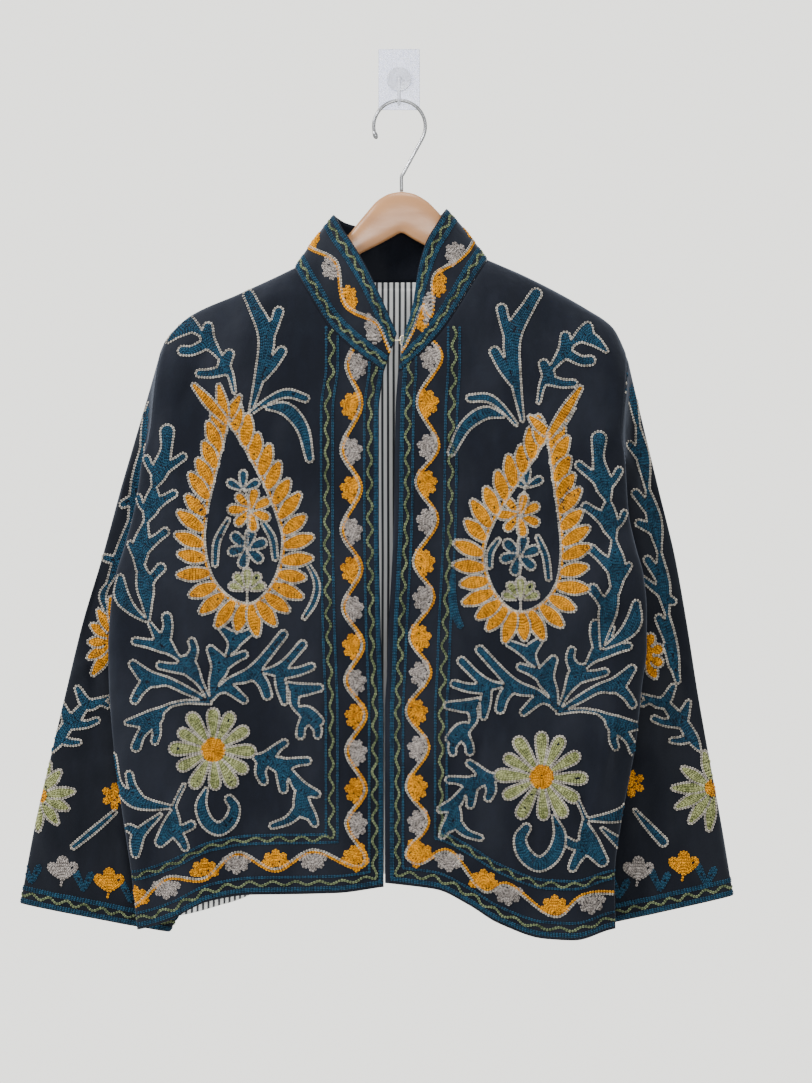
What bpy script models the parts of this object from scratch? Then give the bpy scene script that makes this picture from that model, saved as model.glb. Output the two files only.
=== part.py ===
"""Velvet jacket with a stand collar on a hanger, hung on a clear wall hook.

The wall is the plane Y = 0 and the viewer stands at -Y. The origin is the middle of the
wall plate's back face. X runs to the viewer's right and Z up. Right and left in the names
are the wearer's, so the right front is on the viewer's left, at -X.
"""
import math
from typing import NamedTuple

import bmesh
import bpy
from mathutils import Vector

MM = 0.001

# Cloth
VELVET = 2.0 * MM
LINING = 1.0 * MM
SEAM_GAP = 0.3 * MM

# Depths away from the wall, as Y
RIDGE_Y = -26 * MM
WALL_SIDE_Y = -5.5 * MM
WRAP_Y = -36 * MM
SEAM_Y = -34 * MM
FOLD_ROUNDING = 7
WRAP_ROUNDING = 30 * MM
WRAP_LENGTH = 110 * MM

# Grid of the panels: columns from the front edge, or the middle of the back, to the side
NECK_COLUMNS = 7
CHEST_COLUMNS = 8
WRAP_COLUMNS = 5
BACK_SIDE_COLUMNS = 7
FRONT_COLUMNS = NECK_COLUMNS + CHEST_COLUMNS + WRAP_COLUMNS
BACK_HALF_COLUMNS = NECK_COLUMNS + BACK_SIDE_COLUMNS
LEAST_WRAP = 4 * MM
WRAP_SPREAD = 1.5

# Rows from the top edge to the underarm, and from there to the hem
UNDERARM_Z = -505 * MM
YOKE_ROWS = 5
UPPER_ROWS = 10
SKIRT_ROWS = 11
LAST_ROW = UPPER_ROWS + SKIRT_ROWS
YOKE_SHARE = 0.36
FRONT_ROLL = 0.26
BACK_ROLL = 0.15

# The back panel lies flat near the wall, then comes forward over each sleeve's inner edge
RISE_WIDTH = 85 * MM
MIDDLE_X = -8 * MM

# Sleeve tube
SLEEVE_RINGS = 12
SLEEVE_ROUNDING = 2.5
SHARED_SEAM = 0.5

# Collar and back neckline
COLLAR_ROWS = 3
BACK_NECK_Z = -207 * MM
BACK_NECK_CURVE = 4

# Lining: how many columns and rows of the back it leaves bare
LINING_INSET = 3
LINING_TOP_ROW = 1

# Hanger
HANGER_HALF_DEPTH = 6 * MM
HANGER_DROP = 3.4 * MM
ARM_STEPS = 9
HANGER_SECTION_POINTS = 12
HANGER_ROUNDING = 2.6
WIRE_RADIUS = 1.75 * MM
WIRE_ARC_RADIUS = 26 * MM
WIRE_ARC_CENTRE = Vector((0.5 * MM, RIDGE_Y, -51 * MM))
WIRE_START = math.radians(201)
WIRE_END = math.radians(-30)
WIRE_ARC_STEPS = 18
WIRE_NECK_SHARES = (0.35, 0.7, 0.92)
WIRE_FOOT = 15 * MM
HANGER_FOOT = Vector((2.5 * MM, RIDGE_Y, -117 * MM))

# Clear wall hook
PLATE_WIDTH = 42 * MM
PLATE_HEIGHT = 62 * MM
PLATE_THICKNESS = 1.5 * MM
PLATE_EDGE = 0.4 * MM
DISC_RADIUS = 12.5 * MM
DISC_THICKNESS = 2.2 * MM
DISC_SIDES = 28
PEG_RADIUS = 1.8 * MM
PEG_ROOT_Z = 1 * MM
PEG_TIP_RISE = 9 * MM
PEG_CRADLE_STEPS = 8
PEG_ROOT_SHARES = (0.3, 0.65)

# Hook and eye at the collar
FASTENER_WIRE = 0.55 * MM
FASTENER_Z = -269 * MM
EYE_HEIGHT = 9 * MM
EYE_DEPTH = 3.4 * MM
EYE_CORNER = 1.3 * MM
HOOK_BEND_STEPS = 6


class Finish(NamedTuple):
    """How a material looks."""

    colour: tuple
    roughness: float
    metallic: float = 0.0
    transmission: float = 0.0


class Side(NamedTuple):
    """One side's outline at a height, as distances out from X = 0 in millimetres."""

    z: float
    fold: float       # the edge that shows from the front
    past_fold: float  # how far behind that fold the armhole or side seam lies


class BackEdge(NamedTuple):
    """The back panel's armhole edge, in millimetres."""

    z: float
    out: float
    y: float


class Point2(NamedTuple):
    """A point of an outline drawn on the wall, in millimetres."""

    x: float
    z: float


class Depth(NamedTuple):
    """Depth of the front at its edge and at the side fold, in millimetres."""

    z: float
    middle: float
    fold: float


class SleeveRow(NamedTuple):
    """A section of a sleeve, from its outer to its inner edge, in millimetres."""

    outer_x: float
    outer_z: float
    inner_x: float
    inner_z: float
    y: float
    half_depth: float


class CollarTop(NamedTuple):
    """A point of the collar's top edge, by its share of the neckline."""

    share: float
    x: float
    y: float
    z: float


class HangerRow(NamedTuple):
    """Top and underside of the hanger at one place along it, in millimetres."""

    x: float
    top: float
    under: float


class Tuck(NamedTuple):
    """Where the back has come fully forward over the sleeve's inner edge, in millimetres."""

    z: float
    out: float


class CapRing(NamedTuple):
    """A ring between the armhole and the sleeve: its shares of the way along and back."""

    along: float
    back: float


class Wave(NamedTuple):
    """A soft vertical fold: where it runs, in millimetres, and how far it stands out."""

    top_x: float
    top_z: float
    hem_x: float
    half_width: float
    height: float


class Half(NamedTuple):
    """All that differs between the jacket's two halves."""

    out: int
    side: tuple
    back_edge: tuple
    tuck: tuple
    front_edge: tuple
    neckline: tuple
    front_hem: tuple
    seam_hem: float
    back_hem: tuple
    sleeve: tuple
    collar_front: tuple
    collar_back: tuple
    front_waves: tuple


FINISHES = {
    "velvet": Finish((0.018, 0.022, 0.032), 0.75),
    "striped_cotton": Finish((0.55, 0.56, 0.58), 0.85),
    "hanger_wood_tone": Finish((0.48, 0.29, 0.15), 0.35),
    "bright_steel": Finish((0.62, 0.62, 0.64), 0.2, metallic=1.0),
    "pale_metal": Finish((0.72, 0.62, 0.5), 0.3, metallic=1.0),
    "clear_plastic": Finish((0.85, 0.87, 0.95), 0.15, transmission=0.6),
}

SHOULDER_LINE = (
    Point2(-243, -279), Point2(-232, -262), Point2(-209, -241), Point2(-160, -219),
    Point2(-105, -193), Point2(-60, -167), Point2(-8, -148), Point2(44, -165),
    Point2(89, -185), Point2(130, -203), Point2(191, -236), Point2(215, -253),
    Point2(230, -283), Point2(236, -300),
)

FRONT_DEPTH = (
    Depth(-900, -56, -45), Depth(-760, -59, -46), Depth(-640, -63, -48),
    Depth(-500, -66, -48), Depth(-400, -65, -47), Depth(-300, -62, -46),
    Depth(-220, -60, -45), Depth(-140, -58, -44),
)

# The sleeve drops back quickly behind the front's side fold
CAP = (CapRing(0.12, 0.5), CapRing(0.35, 0.85), CapRing(0.65, 0.97))

# How far along its front half the points of the sleeve's first ring lie: those above the
# place where the seam passes behind the front's fold crowd at the outer edge
CAP_SHARES = (0, 0.012, 0.024, 0.036, 0.048, 0.06, 0.2, 0.4, 0.62, 0.83, 1)

BACK_WAVES = (
    Wave(-60, -330, -72, 30, 7),
    Wave(10, -420, 14, 26, 5),
    Wave(64, -300, 82, 32, 8),
    Wave(-150, -560, -166, 22, 5),
    Wave(128, -560, 134, 20, 5),
)

RIGHT = Half(
    out=-1,
    side=(
        Side(-860, 262, 36), Side(-803, 268, 44), Side(-748, 276, 54),
        Side(-671, 286, 70), Side(-615, 290, 84), Side(-576, 291, 95),
        Side(-540, 289, 105), Side(-505, 284, 110), Side(-475, 275, 72),
        Side(-442, 266, 36), Side(-415, 261, 14), Side(-390, 258, 3), Side(-366, 254, -3),
        Side(-340, 252, -5), Side(-308, 249, -5), Side(-273, 244, -5),
    ),
    back_edge=(
        BackEdge(-505, 174, -34), BackEdge(-470, 191, -24), BackEdge(-430, 211, -16),
        BackEdge(-380, 229, -11), BackEdge(-330, 237, -9), BackEdge(-273, 239, -9),
    ),
    tuck=(
        Tuck(-864, 226), Tuck(-798, 217), Tuck(-745, 196), Tuck(-692, 181),
        Tuck(-640, 172), Tuck(-590, 171), Tuck(-505, 174), Tuck(-430, 211),
        Tuck(-273, 239),
    ),
    front_edge=(
        Point2(-15.2, -860), Point2(-15.2, -640), Point2(-16.5, -600),
        Point2(-18, -560), Point2(-20, -442), Point2(-20, -340), Point2(-15, -300),
    ),
    neckline=(
        Point2(-105, -193), Point2(-99, -206), Point2(-89, -223), Point2(-71, -252),
        Point2(-46, -277), Point2(-15, -300),
    ),
    front_hem=(
        Point2(-291, -862), Point2(-262, -858), Point2(-228, -847), Point2(-190, -829),
        Point2(-150, -822), Point2(-64, -820), Point2(-15, -814),
    ),
    seam_hem=-846,
    back_hem=(
        Point2(-239, -846), Point2(-226, -844), Point2(-170, -831), Point2(-120, -814),
        Point2(-8, -806),
    ),
    sleeve=(
        SleeveRow(-281, -415, -152, -552, -18, 13),
        SleeveRow(-300, -485, -148, -590, -17.5, 13.5),
        SleeveRow(-320, -552, -149, -640, -17, 13.5),
        SleeveRow(-337, -622, -158, -692, -17, 13),
        SleeveRow(-353, -690, -174, -745, -16.5, 12.5),
        SleeveRow(-368, -755, -195, -798, -16, 12),
        SleeveRow(-383, -835, -232, -864, -15.5, 11),
    ),
    collar_front=(
        CollarTop(0, -2, -60, -262), CollarTop(0.2, -16, -58, -230),
        CollarTop(0.4, -31, -54, -198), CollarTop(0.6, -44, -50, -175),
        CollarTop(0.8, -57, -43, -155), CollarTop(0.92, -63.5, -35, -144),
        CollarTop(1, -66, -26, -140),
    ),
    collar_back=(
        CollarTop(0, -8, -8.5, -152), CollarTop(0.4, -36, -9.5, -151),
        CollarTop(0.7, -54, -13, -147), CollarTop(0.88, -63, -18.5, -142),
        CollarTop(1, -66, -26, -140),
    ),
    front_waves=(
        Wave(-215, -420, -226, 26, 7),
        Wave(-118, -560, -108, 30, 5),
        Wave(-60, -330, -52, 24, 4),
    ),
)

LEFT = Half(
    out=1,
    side=(
        Side(-860, 217, 34), Side(-803, 216, 40), Side(-748, 223, 50),
        Side(-671, 237, 66), Side(-615, 243, 78), Side(-576, 248, 88),
        Side(-540, 248, 96), Side(-505, 245, 100), Side(-475, 237, 66),
        Side(-442, 230, 34), Side(-415, 228, 14), Side(-390, 227, 3), Side(-366, 227, -3),
        Side(-340, 230, -5), Side(-310, 233, -5), Side(-283, 235, -5),
    ),
    back_edge=(
        BackEdge(-505, 145, -34), BackEdge(-470, 163, -24), BackEdge(-430, 185, -16),
        BackEdge(-380, 208, -11), BackEdge(-330, 224, -9), BackEdge(-283, 230, -9),
    ),
    tuck=(
        Tuck(-860, 183), Tuck(-795, 176), Tuck(-740, 166), Tuck(-690, 154),
        Tuck(-640, 151), Tuck(-590, 152), Tuck(-505, 145), Tuck(-430, 185),
        Tuck(-283, 230),
    ),
    front_edge=(
        Point2(-14, -860), Point2(-14, -640), Point2(-12, -600), Point2(-10.5, -560),
        Point2(-5, -442), Point2(-3.5, -340), Point2(-1, -300),
    ),
    neckline=(
        Point2(-1, -300), Point2(25, -278), Point2(46, -254), Point2(61, -231),
        Point2(76, -206), Point2(84, -193), Point2(89, -185),
    ),
    front_hem=(
        Point2(-15, -810), Point2(36, -816), Point2(70, -832), Point2(99, -850),
        Point2(146, -866), Point2(174, -867), Point2(218, -857), Point2(248, -856),
    ),
    seam_hem=-850,
    back_hem=(
        Point2(-8, -806), Point2(60, -812), Point2(110, -832), Point2(160, -846),
        Point2(230, -850),
    ),
    sleeve=(
        SleeveRow(262, -415, 138, -548, -18, 13),
        SleeveRow(279, -485, 131, -590, -17.5, 13.5),
        SleeveRow(291, -552, 128, -640, -17, 13.5),
        SleeveRow(302, -622, 131, -690, -17, 13),
        SleeveRow(314, -690, 144, -740, -16.5, 12.5),
        SleeveRow(326, -755, 160, -795, -16, 12),
        SleeveRow(338, -827, 188, -860, -15.5, 11),
    ),
    collar_front=(
        CollarTop(0, 6, -60, -262), CollarTop(0.2, 14, -58, -232),
        CollarTop(0.4, 19, -55, -198), CollarTop(0.6, 27, -51, -170),
        CollarTop(0.8, 39, -44, -149), CollarTop(0.92, 45.5, -35.5, -138),
        CollarTop(1, 48, -26, -134),
    ),
    collar_back=(
        CollarTop(0, -8, -8.5, -152), CollarTop(0.4, 19, -9.5, -151),
        CollarTop(0.7, 37, -13, -144), CollarTop(0.88, 45, -18.5, -137),
        CollarTop(1, 48, -26, -134),
    ),
    front_waves=(
        Wave(186, -400, 178, 26, 7),
        Wave(96, -520, 84, 30, 5),
        Wave(30, -330, 22, 22, 4),
    ),
)

HANGER_MIDDLE = (
    HangerRow(-97, -196, -217), HangerRow(-78, -182, -206), HangerRow(-52, -161, -188),
    HangerRow(-36, -142, -178),
    HangerRow(-20, -124.5, -170), HangerRow(-8, -118.5, -163.5),
    HangerRow(2.5, -117, -158.5), HangerRow(13, -118.5, -164),
    HangerRow(25.5, -124.5, -171), HangerRow(40, -138, -180), HangerRow(56, -160, -190),
    HangerRow(72, -178, -200), HangerRow(84, -190, -208),
)


class Arm(NamedTuple):
    """A hanger arm under the shoulder, from the neck to its tip, in millimetres."""

    neck_x: float
    tip_x: float
    neck_height: float
    tip_height: float


HANGER_ARMS = (Arm(-109, -202, 22, 18), Arm(97, 188, 22, 18))
TIP_ROUNDING = (HangerRow(2.5, -1.6, 2.5), HangerRow(4, -5, 6))


class Track:
    """A smooth curve through a table's rows, held flat past its ends."""

    def __init__(self, keys, values):
        pairs = sorted(zip(keys, values))
        self.keys = [key for key, _ in pairs]
        self.values = [value for _, value in pairs]
        steps = range(len(pairs) - 1)
        slopes = [self._rise(index) for index in steps]
        inner = [self._between(slopes[index], slopes[index + 1]) for index in steps[:-1]]
        self.tangents = [slopes[0], *inner, slopes[-1]]

    def _rise(self, index):
        run = self.keys[index + 1] - self.keys[index]
        return (self.values[index + 1] - self.values[index]) / run

    @staticmethod
    def _between(before, after):
        """Tangent that never overshoots the rows on its two sides."""
        if before * after <= 0:
            return 0.0
        return 2 * before * after / (before + after)

    def at(self, key):
        if key <= self.keys[0]:
            return self.values[0]
        if key >= self.keys[-1]:
            return self.values[-1]
        index = max(i for i, start in enumerate(self.keys) if start <= key)
        run = self.keys[index + 1] - self.keys[index]
        t = (key - self.keys[index]) / run
        first, last = self.values[index], self.values[index + 1]
        leave, arrive = self.tangents[index] * run, self.tangents[index + 1] * run
        return (first * (1 + 2 * t) * (1 - t) ** 2 + leave * t * (1 - t) ** 2
                + last * t * t * (3 - 2 * t) - arrive * t * t * (1 - t))


def column(rows, key, value):
    """A track of one column of a table against another, in metres."""
    return Track([getattr(row, key) * MM for row in rows],
                 [getattr(row, value) * MM for row in rows])


def shares(rows, value):
    """A track of one of the collar's columns against the share of the neckline."""
    return Track([row.share for row in rows], [getattr(row, value) * MM for row in rows])


def smooth_step(t):
    t = min(max(t, 0.0), 1.0)
    return t * t * (3 - 2 * t)


def quarter_round(t):
    """Height of a quarter circle: steep at 0 and level from 1 on."""
    t = min(max(t, 0.0), 1.0)
    return math.sqrt(1 - (1 - t) ** 2)


shoulder_z = column(SHOULDER_LINE, "x", "z")
middle_y = column(FRONT_DEPTH, "z", "middle")
fold_y = column(FRONT_DEPTH, "z", "fold")


def fall_share(row):
    """Share of the way from a panel's top edge down to the underarm, at a row."""
    if row <= YOKE_ROWS:
        return YOKE_SHARE * (1 - math.cos(math.pi / 2 * row / YOKE_ROWS))
    return YOKE_SHARE + (1 - YOKE_SHARE) * (row - YOKE_ROWS) / (UPPER_ROWS - YOKE_ROWS)


def row_height(top, hem, row):
    if row <= UPPER_ROWS:
        return top + (UNDERARM_Z - top) * fall_share(row)
    return UNDERARM_Z + (hem - UNDERARM_Z) * (row - UPPER_ROWS) / SKIRT_ROWS


def wave_height(waves, x, z, hem):
    """How far the soft folds move the cloth at a point: nothing at the top, most at the hem."""
    total = 0.0
    for wave in waves:
        top = wave.top_z * MM
        share = smooth_step((top - z) / (top - hem))
        middle = (wave.top_x + (wave.hem_x - wave.top_x) * share) * MM
        total += wave.height * MM * share * math.exp(-((x - middle) / (wave.half_width * MM)) ** 2)
    return total


class BodyHalf:
    """The surfaces of the body's front and back on one side."""

    def __init__(self, half):
        self.half = half
        self.out = half.out
        self.fold = column(half.side, "z", "fold")
        self.past = column(half.side, "z", "past_fold")
        self.back_out = column(half.back_edge, "z", "out")
        self.back_y = column(half.back_edge, "z", "y")
        self.tuck = column(half.tuck, "z", "out")
        self.edge = column(half.front_edge, "z", "x")
        self.neckline = column(half.neckline, "x", "z")
        self.front_hem = column(half.front_hem, "x", "z")
        self.back_hem = column(half.back_hem, "x", "z")
        self.neck_x = max((point.x * MM for point in half.neckline), key=abs)
        self.neck_top = half.neckline[-1 if half.out > 0 else 0].z * MM

    def reach(self, z):
        """Distance along the cloth from the front edge to the side fold."""
        return self.out * (self.out * self.fold.at(z) - self.edge.at(z))

    def front_run(self, index, z):
        """Distance along the cloth from the front edge to a column."""
        neck = self.out * (self.neck_x - self.edge.at(z))
        total = self.reach(z) + self.past.at(z)
        turn = min(self.reach(z), total - LEAST_WRAP)
        if index <= NECK_COLUMNS:
            return neck * math.sin(math.pi / 2 * index / NECK_COLUMNS)
        index -= NECK_COLUMNS
        if index <= CHEST_COLUMNS:
            return neck + (turn - neck) * math.sin(math.pi / 2 * index / CHEST_COLUMNS)
        index -= CHEST_COLUMNS
        return turn + (total - turn) * (index / WRAP_COLUMNS) ** WRAP_SPREAD

    def front_spot(self, run, z):
        """X and flat depth of the front's cloth at a distance from the front edge."""
        past = run - self.reach(z)
        if past <= 0:
            across = max(run, 0.0) / self.reach(z)
            swell = math.sqrt(1 - across ** FOLD_ROUNDING)
            depth = fold_y.at(z) + (middle_y.at(z) - fold_y.at(z)) * swell
            return self.edge.at(z) + self.out * run, depth
        behind = quarter_round(past / WRAP_ROUNDING)
        depth = fold_y.at(z) + (WRAP_Y - fold_y.at(z)) * behind
        depth += (SEAM_Y - WRAP_Y) * min(past / WRAP_LENGTH, 1.0)
        return self.out * (self.fold.at(z) - past), depth

    def rolled(self, depth, top_x, z, roll):
        """Bring a flat depth round to the shoulder's ridge near the top."""
        crest = shoulder_z.at(top_x)
        share = quarter_round((crest - z) / (roll * (crest - UNDERARM_Z)))
        return RIDGE_Y + (depth - RIDGE_Y) * share

    def front_top(self, index):
        """X and height of the front's top edge: the neckline, then the shoulder seam."""
        tip = self.half.side[-1].z * MM
        x = self.edge.at(tip) + self.out * self.front_run(index, tip)
        if index < NECK_COLUMNS:
            return x, self.neckline.at(x)
        return x, shoulder_z.at(x)

    def front_point(self, index, row):
        top_x, top = self.front_top(index)
        hem = self.front_hem_at(index)
        z = row_height(top, hem, row)
        run = self.front_run(index, z)
        x, depth = self.front_spot(run, z)
        facing = 1 if run <= self.reach(z) else 0
        depth -= facing * wave_height(self.half.front_waves, x, z, hem) * self.flatness(run, z)
        return Vector((x, self.rolled(depth, top_x, z, FRONT_ROLL), z))

    def front_hem_at(self, index):
        """Height of the front's hem at a column: behind the fold it goes to the side seam's."""
        low = self.half.side[0].z * MM
        run = self.front_run(index, low)
        x, _ = self.front_spot(run, low)
        behind = max(run - self.reach(low), 0) / self.past.at(low)
        at_fold = self.front_hem.at(self.out * self.fold.at(low))
        if behind > 0:
            return at_fold + (self.half.seam_hem * MM - at_fold) * behind
        return self.front_hem.at(x)

    def flatness(self, run, z):
        """1 on the open cloth, falling to 0 at the side fold so that waves end there."""
        return smooth_step((self.reach(z) - run) / WRAP_ROUNDING)

    def back_edge_at(self, z):
        """Distance out and depth of the back's armhole edge or side seam."""
        if z > UNDERARM_Z:
            return self.back_out.at(z), self.back_y.at(z)
        total = self.reach(z) + self.past.at(z)
        x, depth = self.front_spot(total, z)
        return abs(x), depth

    def back_point(self, index, row):
        """A point of the back, by its column from the middle to this side."""
        tip = self.half.side[-1].z * MM
        tip_out, _ = self.back_edge_at(tip)
        neck = abs(self.neck_x - MIDDLE_X)
        shoulder = abs(self.out * tip_out - MIDDLE_X)
        top_x = MIDDLE_X + self.out * self.back_run(index, neck, shoulder)
        on_neck = index < NECK_COLUMNS
        top = self.back_neckline(top_x) if on_neck else shoulder_z.at(top_x)
        hem = self.back_hem.at(top_x)
        z = row_height(top, hem, row)
        edge_out, edge_depth = self.back_edge_at(z)
        side = abs(self.out * edge_out - MIDDLE_X)
        run = self.back_run(index, neck, side)
        x = MIDDLE_X + self.out * run
        full = min(abs(self.out * self.tuck.at(z) - MIDDLE_X), side)
        forward = smooth_step((run - full + RISE_WIDTH) / RISE_WIDTH)
        depth = WALL_SIDE_Y + (edge_depth - WALL_SIDE_Y) * forward
        depth -= wave_height(BACK_WAVES, x, z, hem) * smooth_step((side - run) / WRAP_ROUNDING)
        return Vector((x, self.rolled(depth, top_x, z, BACK_ROLL), z))

    def back_run(self, index, neck, side):
        if index <= NECK_COLUMNS:
            return neck * math.sin(math.pi / 2 * index / NECK_COLUMNS)
        return neck + (side - neck) * (index - NECK_COLUMNS) / BACK_SIDE_COLUMNS

    def back_neckline(self, x):
        """The back neckline, a shallow dip between the two shoulder seams."""
        share = abs(x - MIDDLE_X) / abs(self.neck_x - MIDDLE_X)
        return BACK_NECK_Z + (self.neck_top - BACK_NECK_Z) * share ** BACK_NECK_CURVE


class Cloth:
    """One piece's outer points by row and column, and the way out of the cloth at each."""

    def __init__(self, points, outward, closed=False):
        self.points = points
        self.closed = closed
        self.rows = len(points)
        self.columns = len(points[0])
        self.normals = [[self._normal(row, col, outward) for col in range(self.columns)]
                        for row in range(self.rows)]

    def _normal(self, row, col, outward):
        above = self.points[max(row - 1, 0)][col]
        below = self.points[min(row + 1, self.rows - 1)][col]
        if self.closed:
            before = self.points[row][col - 1]
            after = self.points[row][(col + 1) % self.columns]
        else:
            before = self.points[row][max(col - 1, 0)]
            after = self.points[row][min(col + 1, self.columns - 1)]
        return ((after - before).cross(above - below) * outward).normalized()

    def pull_in(self, spots, step_row, step_col):
        """Draw a seam edge back by half the gap, towards the next points inside."""
        moved = []
        for row, col in spots:
            here = self.points[row][col]
            inside = self.points[row + step_row][(col + step_col) % self.columns]
            moved.append(here + (inside - here).normalized() * SEAM_GAP / 2)
        for (row, col), point in zip(spots, moved):
            self.points[row][col] = point


def share_normals(first, first_spots, second, second_spots):
    """Give two pieces the same way out along a seam, where they don't fold back on it."""
    for (row_a, col_a), (row_b, col_b) in zip(first_spots, second_spots):
        normal_a = first.normals[row_a][col_a]
        normal_b = second.normals[row_b][col_b]
        if normal_a.dot(normal_b) > SHARED_SEAM:
            shared = (normal_a + normal_b).normalized()
            first.normals[row_a][col_a] = shared
            second.normals[row_b][col_b] = shared


def new_material(name):
    finish = FINISHES[name]
    material = bpy.data.materials.new(name)
    material.use_nodes = True
    shader = material.node_tree.nodes["Principled BSDF"]
    shader.inputs["Base Color"].default_value = (*finish.colour, 1.0)
    shader.inputs["Roughness"].default_value = finish.roughness
    shader.inputs["Metallic"].default_value = finish.metallic
    shader.inputs["Transmission Weight"].default_value = finish.transmission
    material.diffuse_color = (*finish.colour, 1.0)
    return material


def add_mesh_object(name, build, material, collection):
    mesh = bpy.data.meshes.new(name)
    bmesh.ops.recalc_face_normals(build, faces=build.faces)
    build.to_mesh(mesh)
    build.free()
    mesh.materials.append(material)
    mesh.shade_smooth()
    item = bpy.data.objects.new(name, mesh)
    collection.objects.link(item)
    return item


def add_edge_face(build, outer_a, outer_b, inner_a, inner_b):
    """Close a stretch of a wall's edge, split the same way on both sides of a seam."""
    if outer_a.co.z < outer_b.co.z:
        outer_a, outer_b, inner_a, inner_b = outer_b, outer_a, inner_b, inner_a
    build.faces.new((outer_a, outer_b, inner_b))
    build.faces.new((outer_a, inner_b, inner_a))


def add_wall(name, cloth, thickness, material, collection):
    """Make a cloth wall: outer points, inner points under them, and the edges between."""
    build = bmesh.new()
    outer = [[build.verts.new(point) for point in row] for row in cloth.points]
    inner = [[build.verts.new(point - normal * thickness) for point, normal in zip(*pair)]
             for pair in zip(cloth.points, cloth.normals)]
    rows, columns = cloth.rows, cloth.columns
    spans = columns if cloth.closed else columns - 1
    for row in range(rows - 1):
        for col in range(spans):
            after = (col + 1) % columns
            for layer in (outer, inner):
                build.faces.new((layer[row][col], layer[row][after],
                                 layer[row + 1][after], layer[row + 1][col]))
    for row in (0, rows - 1):
        for col in range(spans):
            after = (col + 1) % columns
            add_edge_face(build, outer[row][col], outer[row][after],
                          inner[row][col], inner[row][after])
    if not cloth.closed:
        for col in (0, columns - 1):
            for row in range(rows - 1):
                add_edge_face(build, outer[row][col], outer[row + 1][col],
                              inner[row][col], inner[row + 1][col])
    return add_mesh_object(name, build, material, collection)


def front_cloth(body):
    points = [[body.front_point(col, row) for col in range(FRONT_COLUMNS + 1)]
              for row in range(LAST_ROW + 1)]
    return Cloth(points, body.out)


def back_cloth(right, left):
    """The back runs from the wearer's right side seam to the left one."""
    points = []
    for row in range(LAST_ROW + 1):
        right_half = [right.back_point(col, row) for col in range(BACK_HALF_COLUMNS, 0, -1)]
        left_half = [left.back_point(col, row) for col in range(BACK_HALF_COLUMNS + 1)]
        points.append(right_half + left_half)
    return Cloth(points, -1)


def sleeve_section(row, points_per_half, crowding):
    """A flattened ring, front half from the outer to the inner edge and back again."""
    outer = Vector((row.outer_x * MM, row.y * MM, row.outer_z * MM))
    inner = Vector((row.inner_x * MM, row.y * MM, row.inner_z * MM))
    ring = []
    for step in range(2 * points_per_half):
        share = (1 - math.cos(math.pi * step / points_per_half)) / 2
        if step <= points_per_half:
            share += (CAP_SHARES[step] - share) * crowding
        thick = (1 - abs(1 - 2 * share) ** SLEEVE_ROUNDING) ** (1 / SLEEVE_ROUNDING)
        to_viewer = -1 if step < points_per_half else 1
        offset = Vector((0, to_viewer * row.half_depth * MM * thick, 0))
        ring.append(outer.lerp(inner, share) + offset)
    return ring


def sleeve_cloth(body, armhole):
    """A sleeve from its armhole ring down to the cuff."""
    rows = body.half.sleeve
    stations = list(range(len(rows)))
    tracks = {name: Track(stations, [getattr(row, name) for row in rows])
              for name in SleeveRow._fields}
    half_count = len(armhole) // 2
    rings = [armhole]
    first = sleeve_section(rows[0], half_count, 1)
    for cap in CAP:
        ring = [start.lerp(end, cap.along) for start, end in zip(armhole, first)]
        for point, start, end in zip(ring, armhole, first):
            point.y = start.y + (end.y - start.y) * cap.back
        rings.append(ring)
    for step in range(SLEEVE_RINGS + 1):
        station = step / SLEEVE_RINGS * stations[-1]
        row = SleeveRow(*(tracks[name].at(station) for name in SleeveRow._fields))
        rings.append(sleeve_section(row, half_count, 1 - smooth_step(step / SLEEVE_RINGS)))
    return Cloth(rings, -body.out, closed=True)


def collar_cloth(right, left, base, base_normals):
    """The stand collar, from the wearer's right front end round the neck to the left one."""
    tops = []
    for body, forwards in ((right, True), (left, False)):
        front = [collar_top(body.half.collar_front, col) for col in range(NECK_COLUMNS + 1)]
        back = [collar_top(body.half.collar_back, col) for col in range(NECK_COLUMNS + 1)]
        half = front + back[::-1][1:]
        tops.extend(half if forwards else half[::-1][1:])
    points = []
    for row in range(COLLAR_ROWS + 1):
        share = 1 - row / COLLAR_ROWS
        points.append([low.lerp(high, share) for low, high in zip(base, tops)])
    cloth = Cloth(points, -1)
    for col, normal in enumerate(base_normals):
        if cloth.normals[COLLAR_ROWS][col].dot(normal) > 0:
            cloth.normals[COLLAR_ROWS][col] = normal
    return cloth


def collar_top(rows, index):
    share = index / NECK_COLUMNS
    return Vector([shares(rows, axis).at(share) for axis in "xyz"])


def lining_cloth(back):
    """The lining follows the back panel just inside it, clear of the side seams."""
    first, last = LINING_INSET, back.columns - LINING_INSET
    drop = VELVET + SEAM_GAP
    points = []
    for row in range(LINING_TOP_ROW, back.rows):
        points.append([back.points[row][col] - back.normals[row][col] * drop
                       for col in range(first, last)])
    return Cloth(points, -1)


def arm_rows(arm):
    """An arm's sections: its top follows the shoulder seam from just under the cloth."""
    rows = []
    for step in range(ARM_STEPS + 1):
        share = step / ARM_STEPS
        x = arm.neck_x + (arm.tip_x - arm.neck_x) * share
        top = (shoulder_z.at(x * MM) - HANGER_DROP) / MM
        height = arm.neck_height + (arm.tip_height - arm.neck_height) * share
        rows.append(HangerRow(x, top, top - height))
    outwards = math.copysign(1, arm.tip_x)
    tip = rows[-1]
    for end in TIP_ROUNDING:
        rows.append(HangerRow(tip.x + outwards * end.x, tip.top + end.top - end.x,
                              tip.under + end.under - end.x / 2))
    return rows


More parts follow.
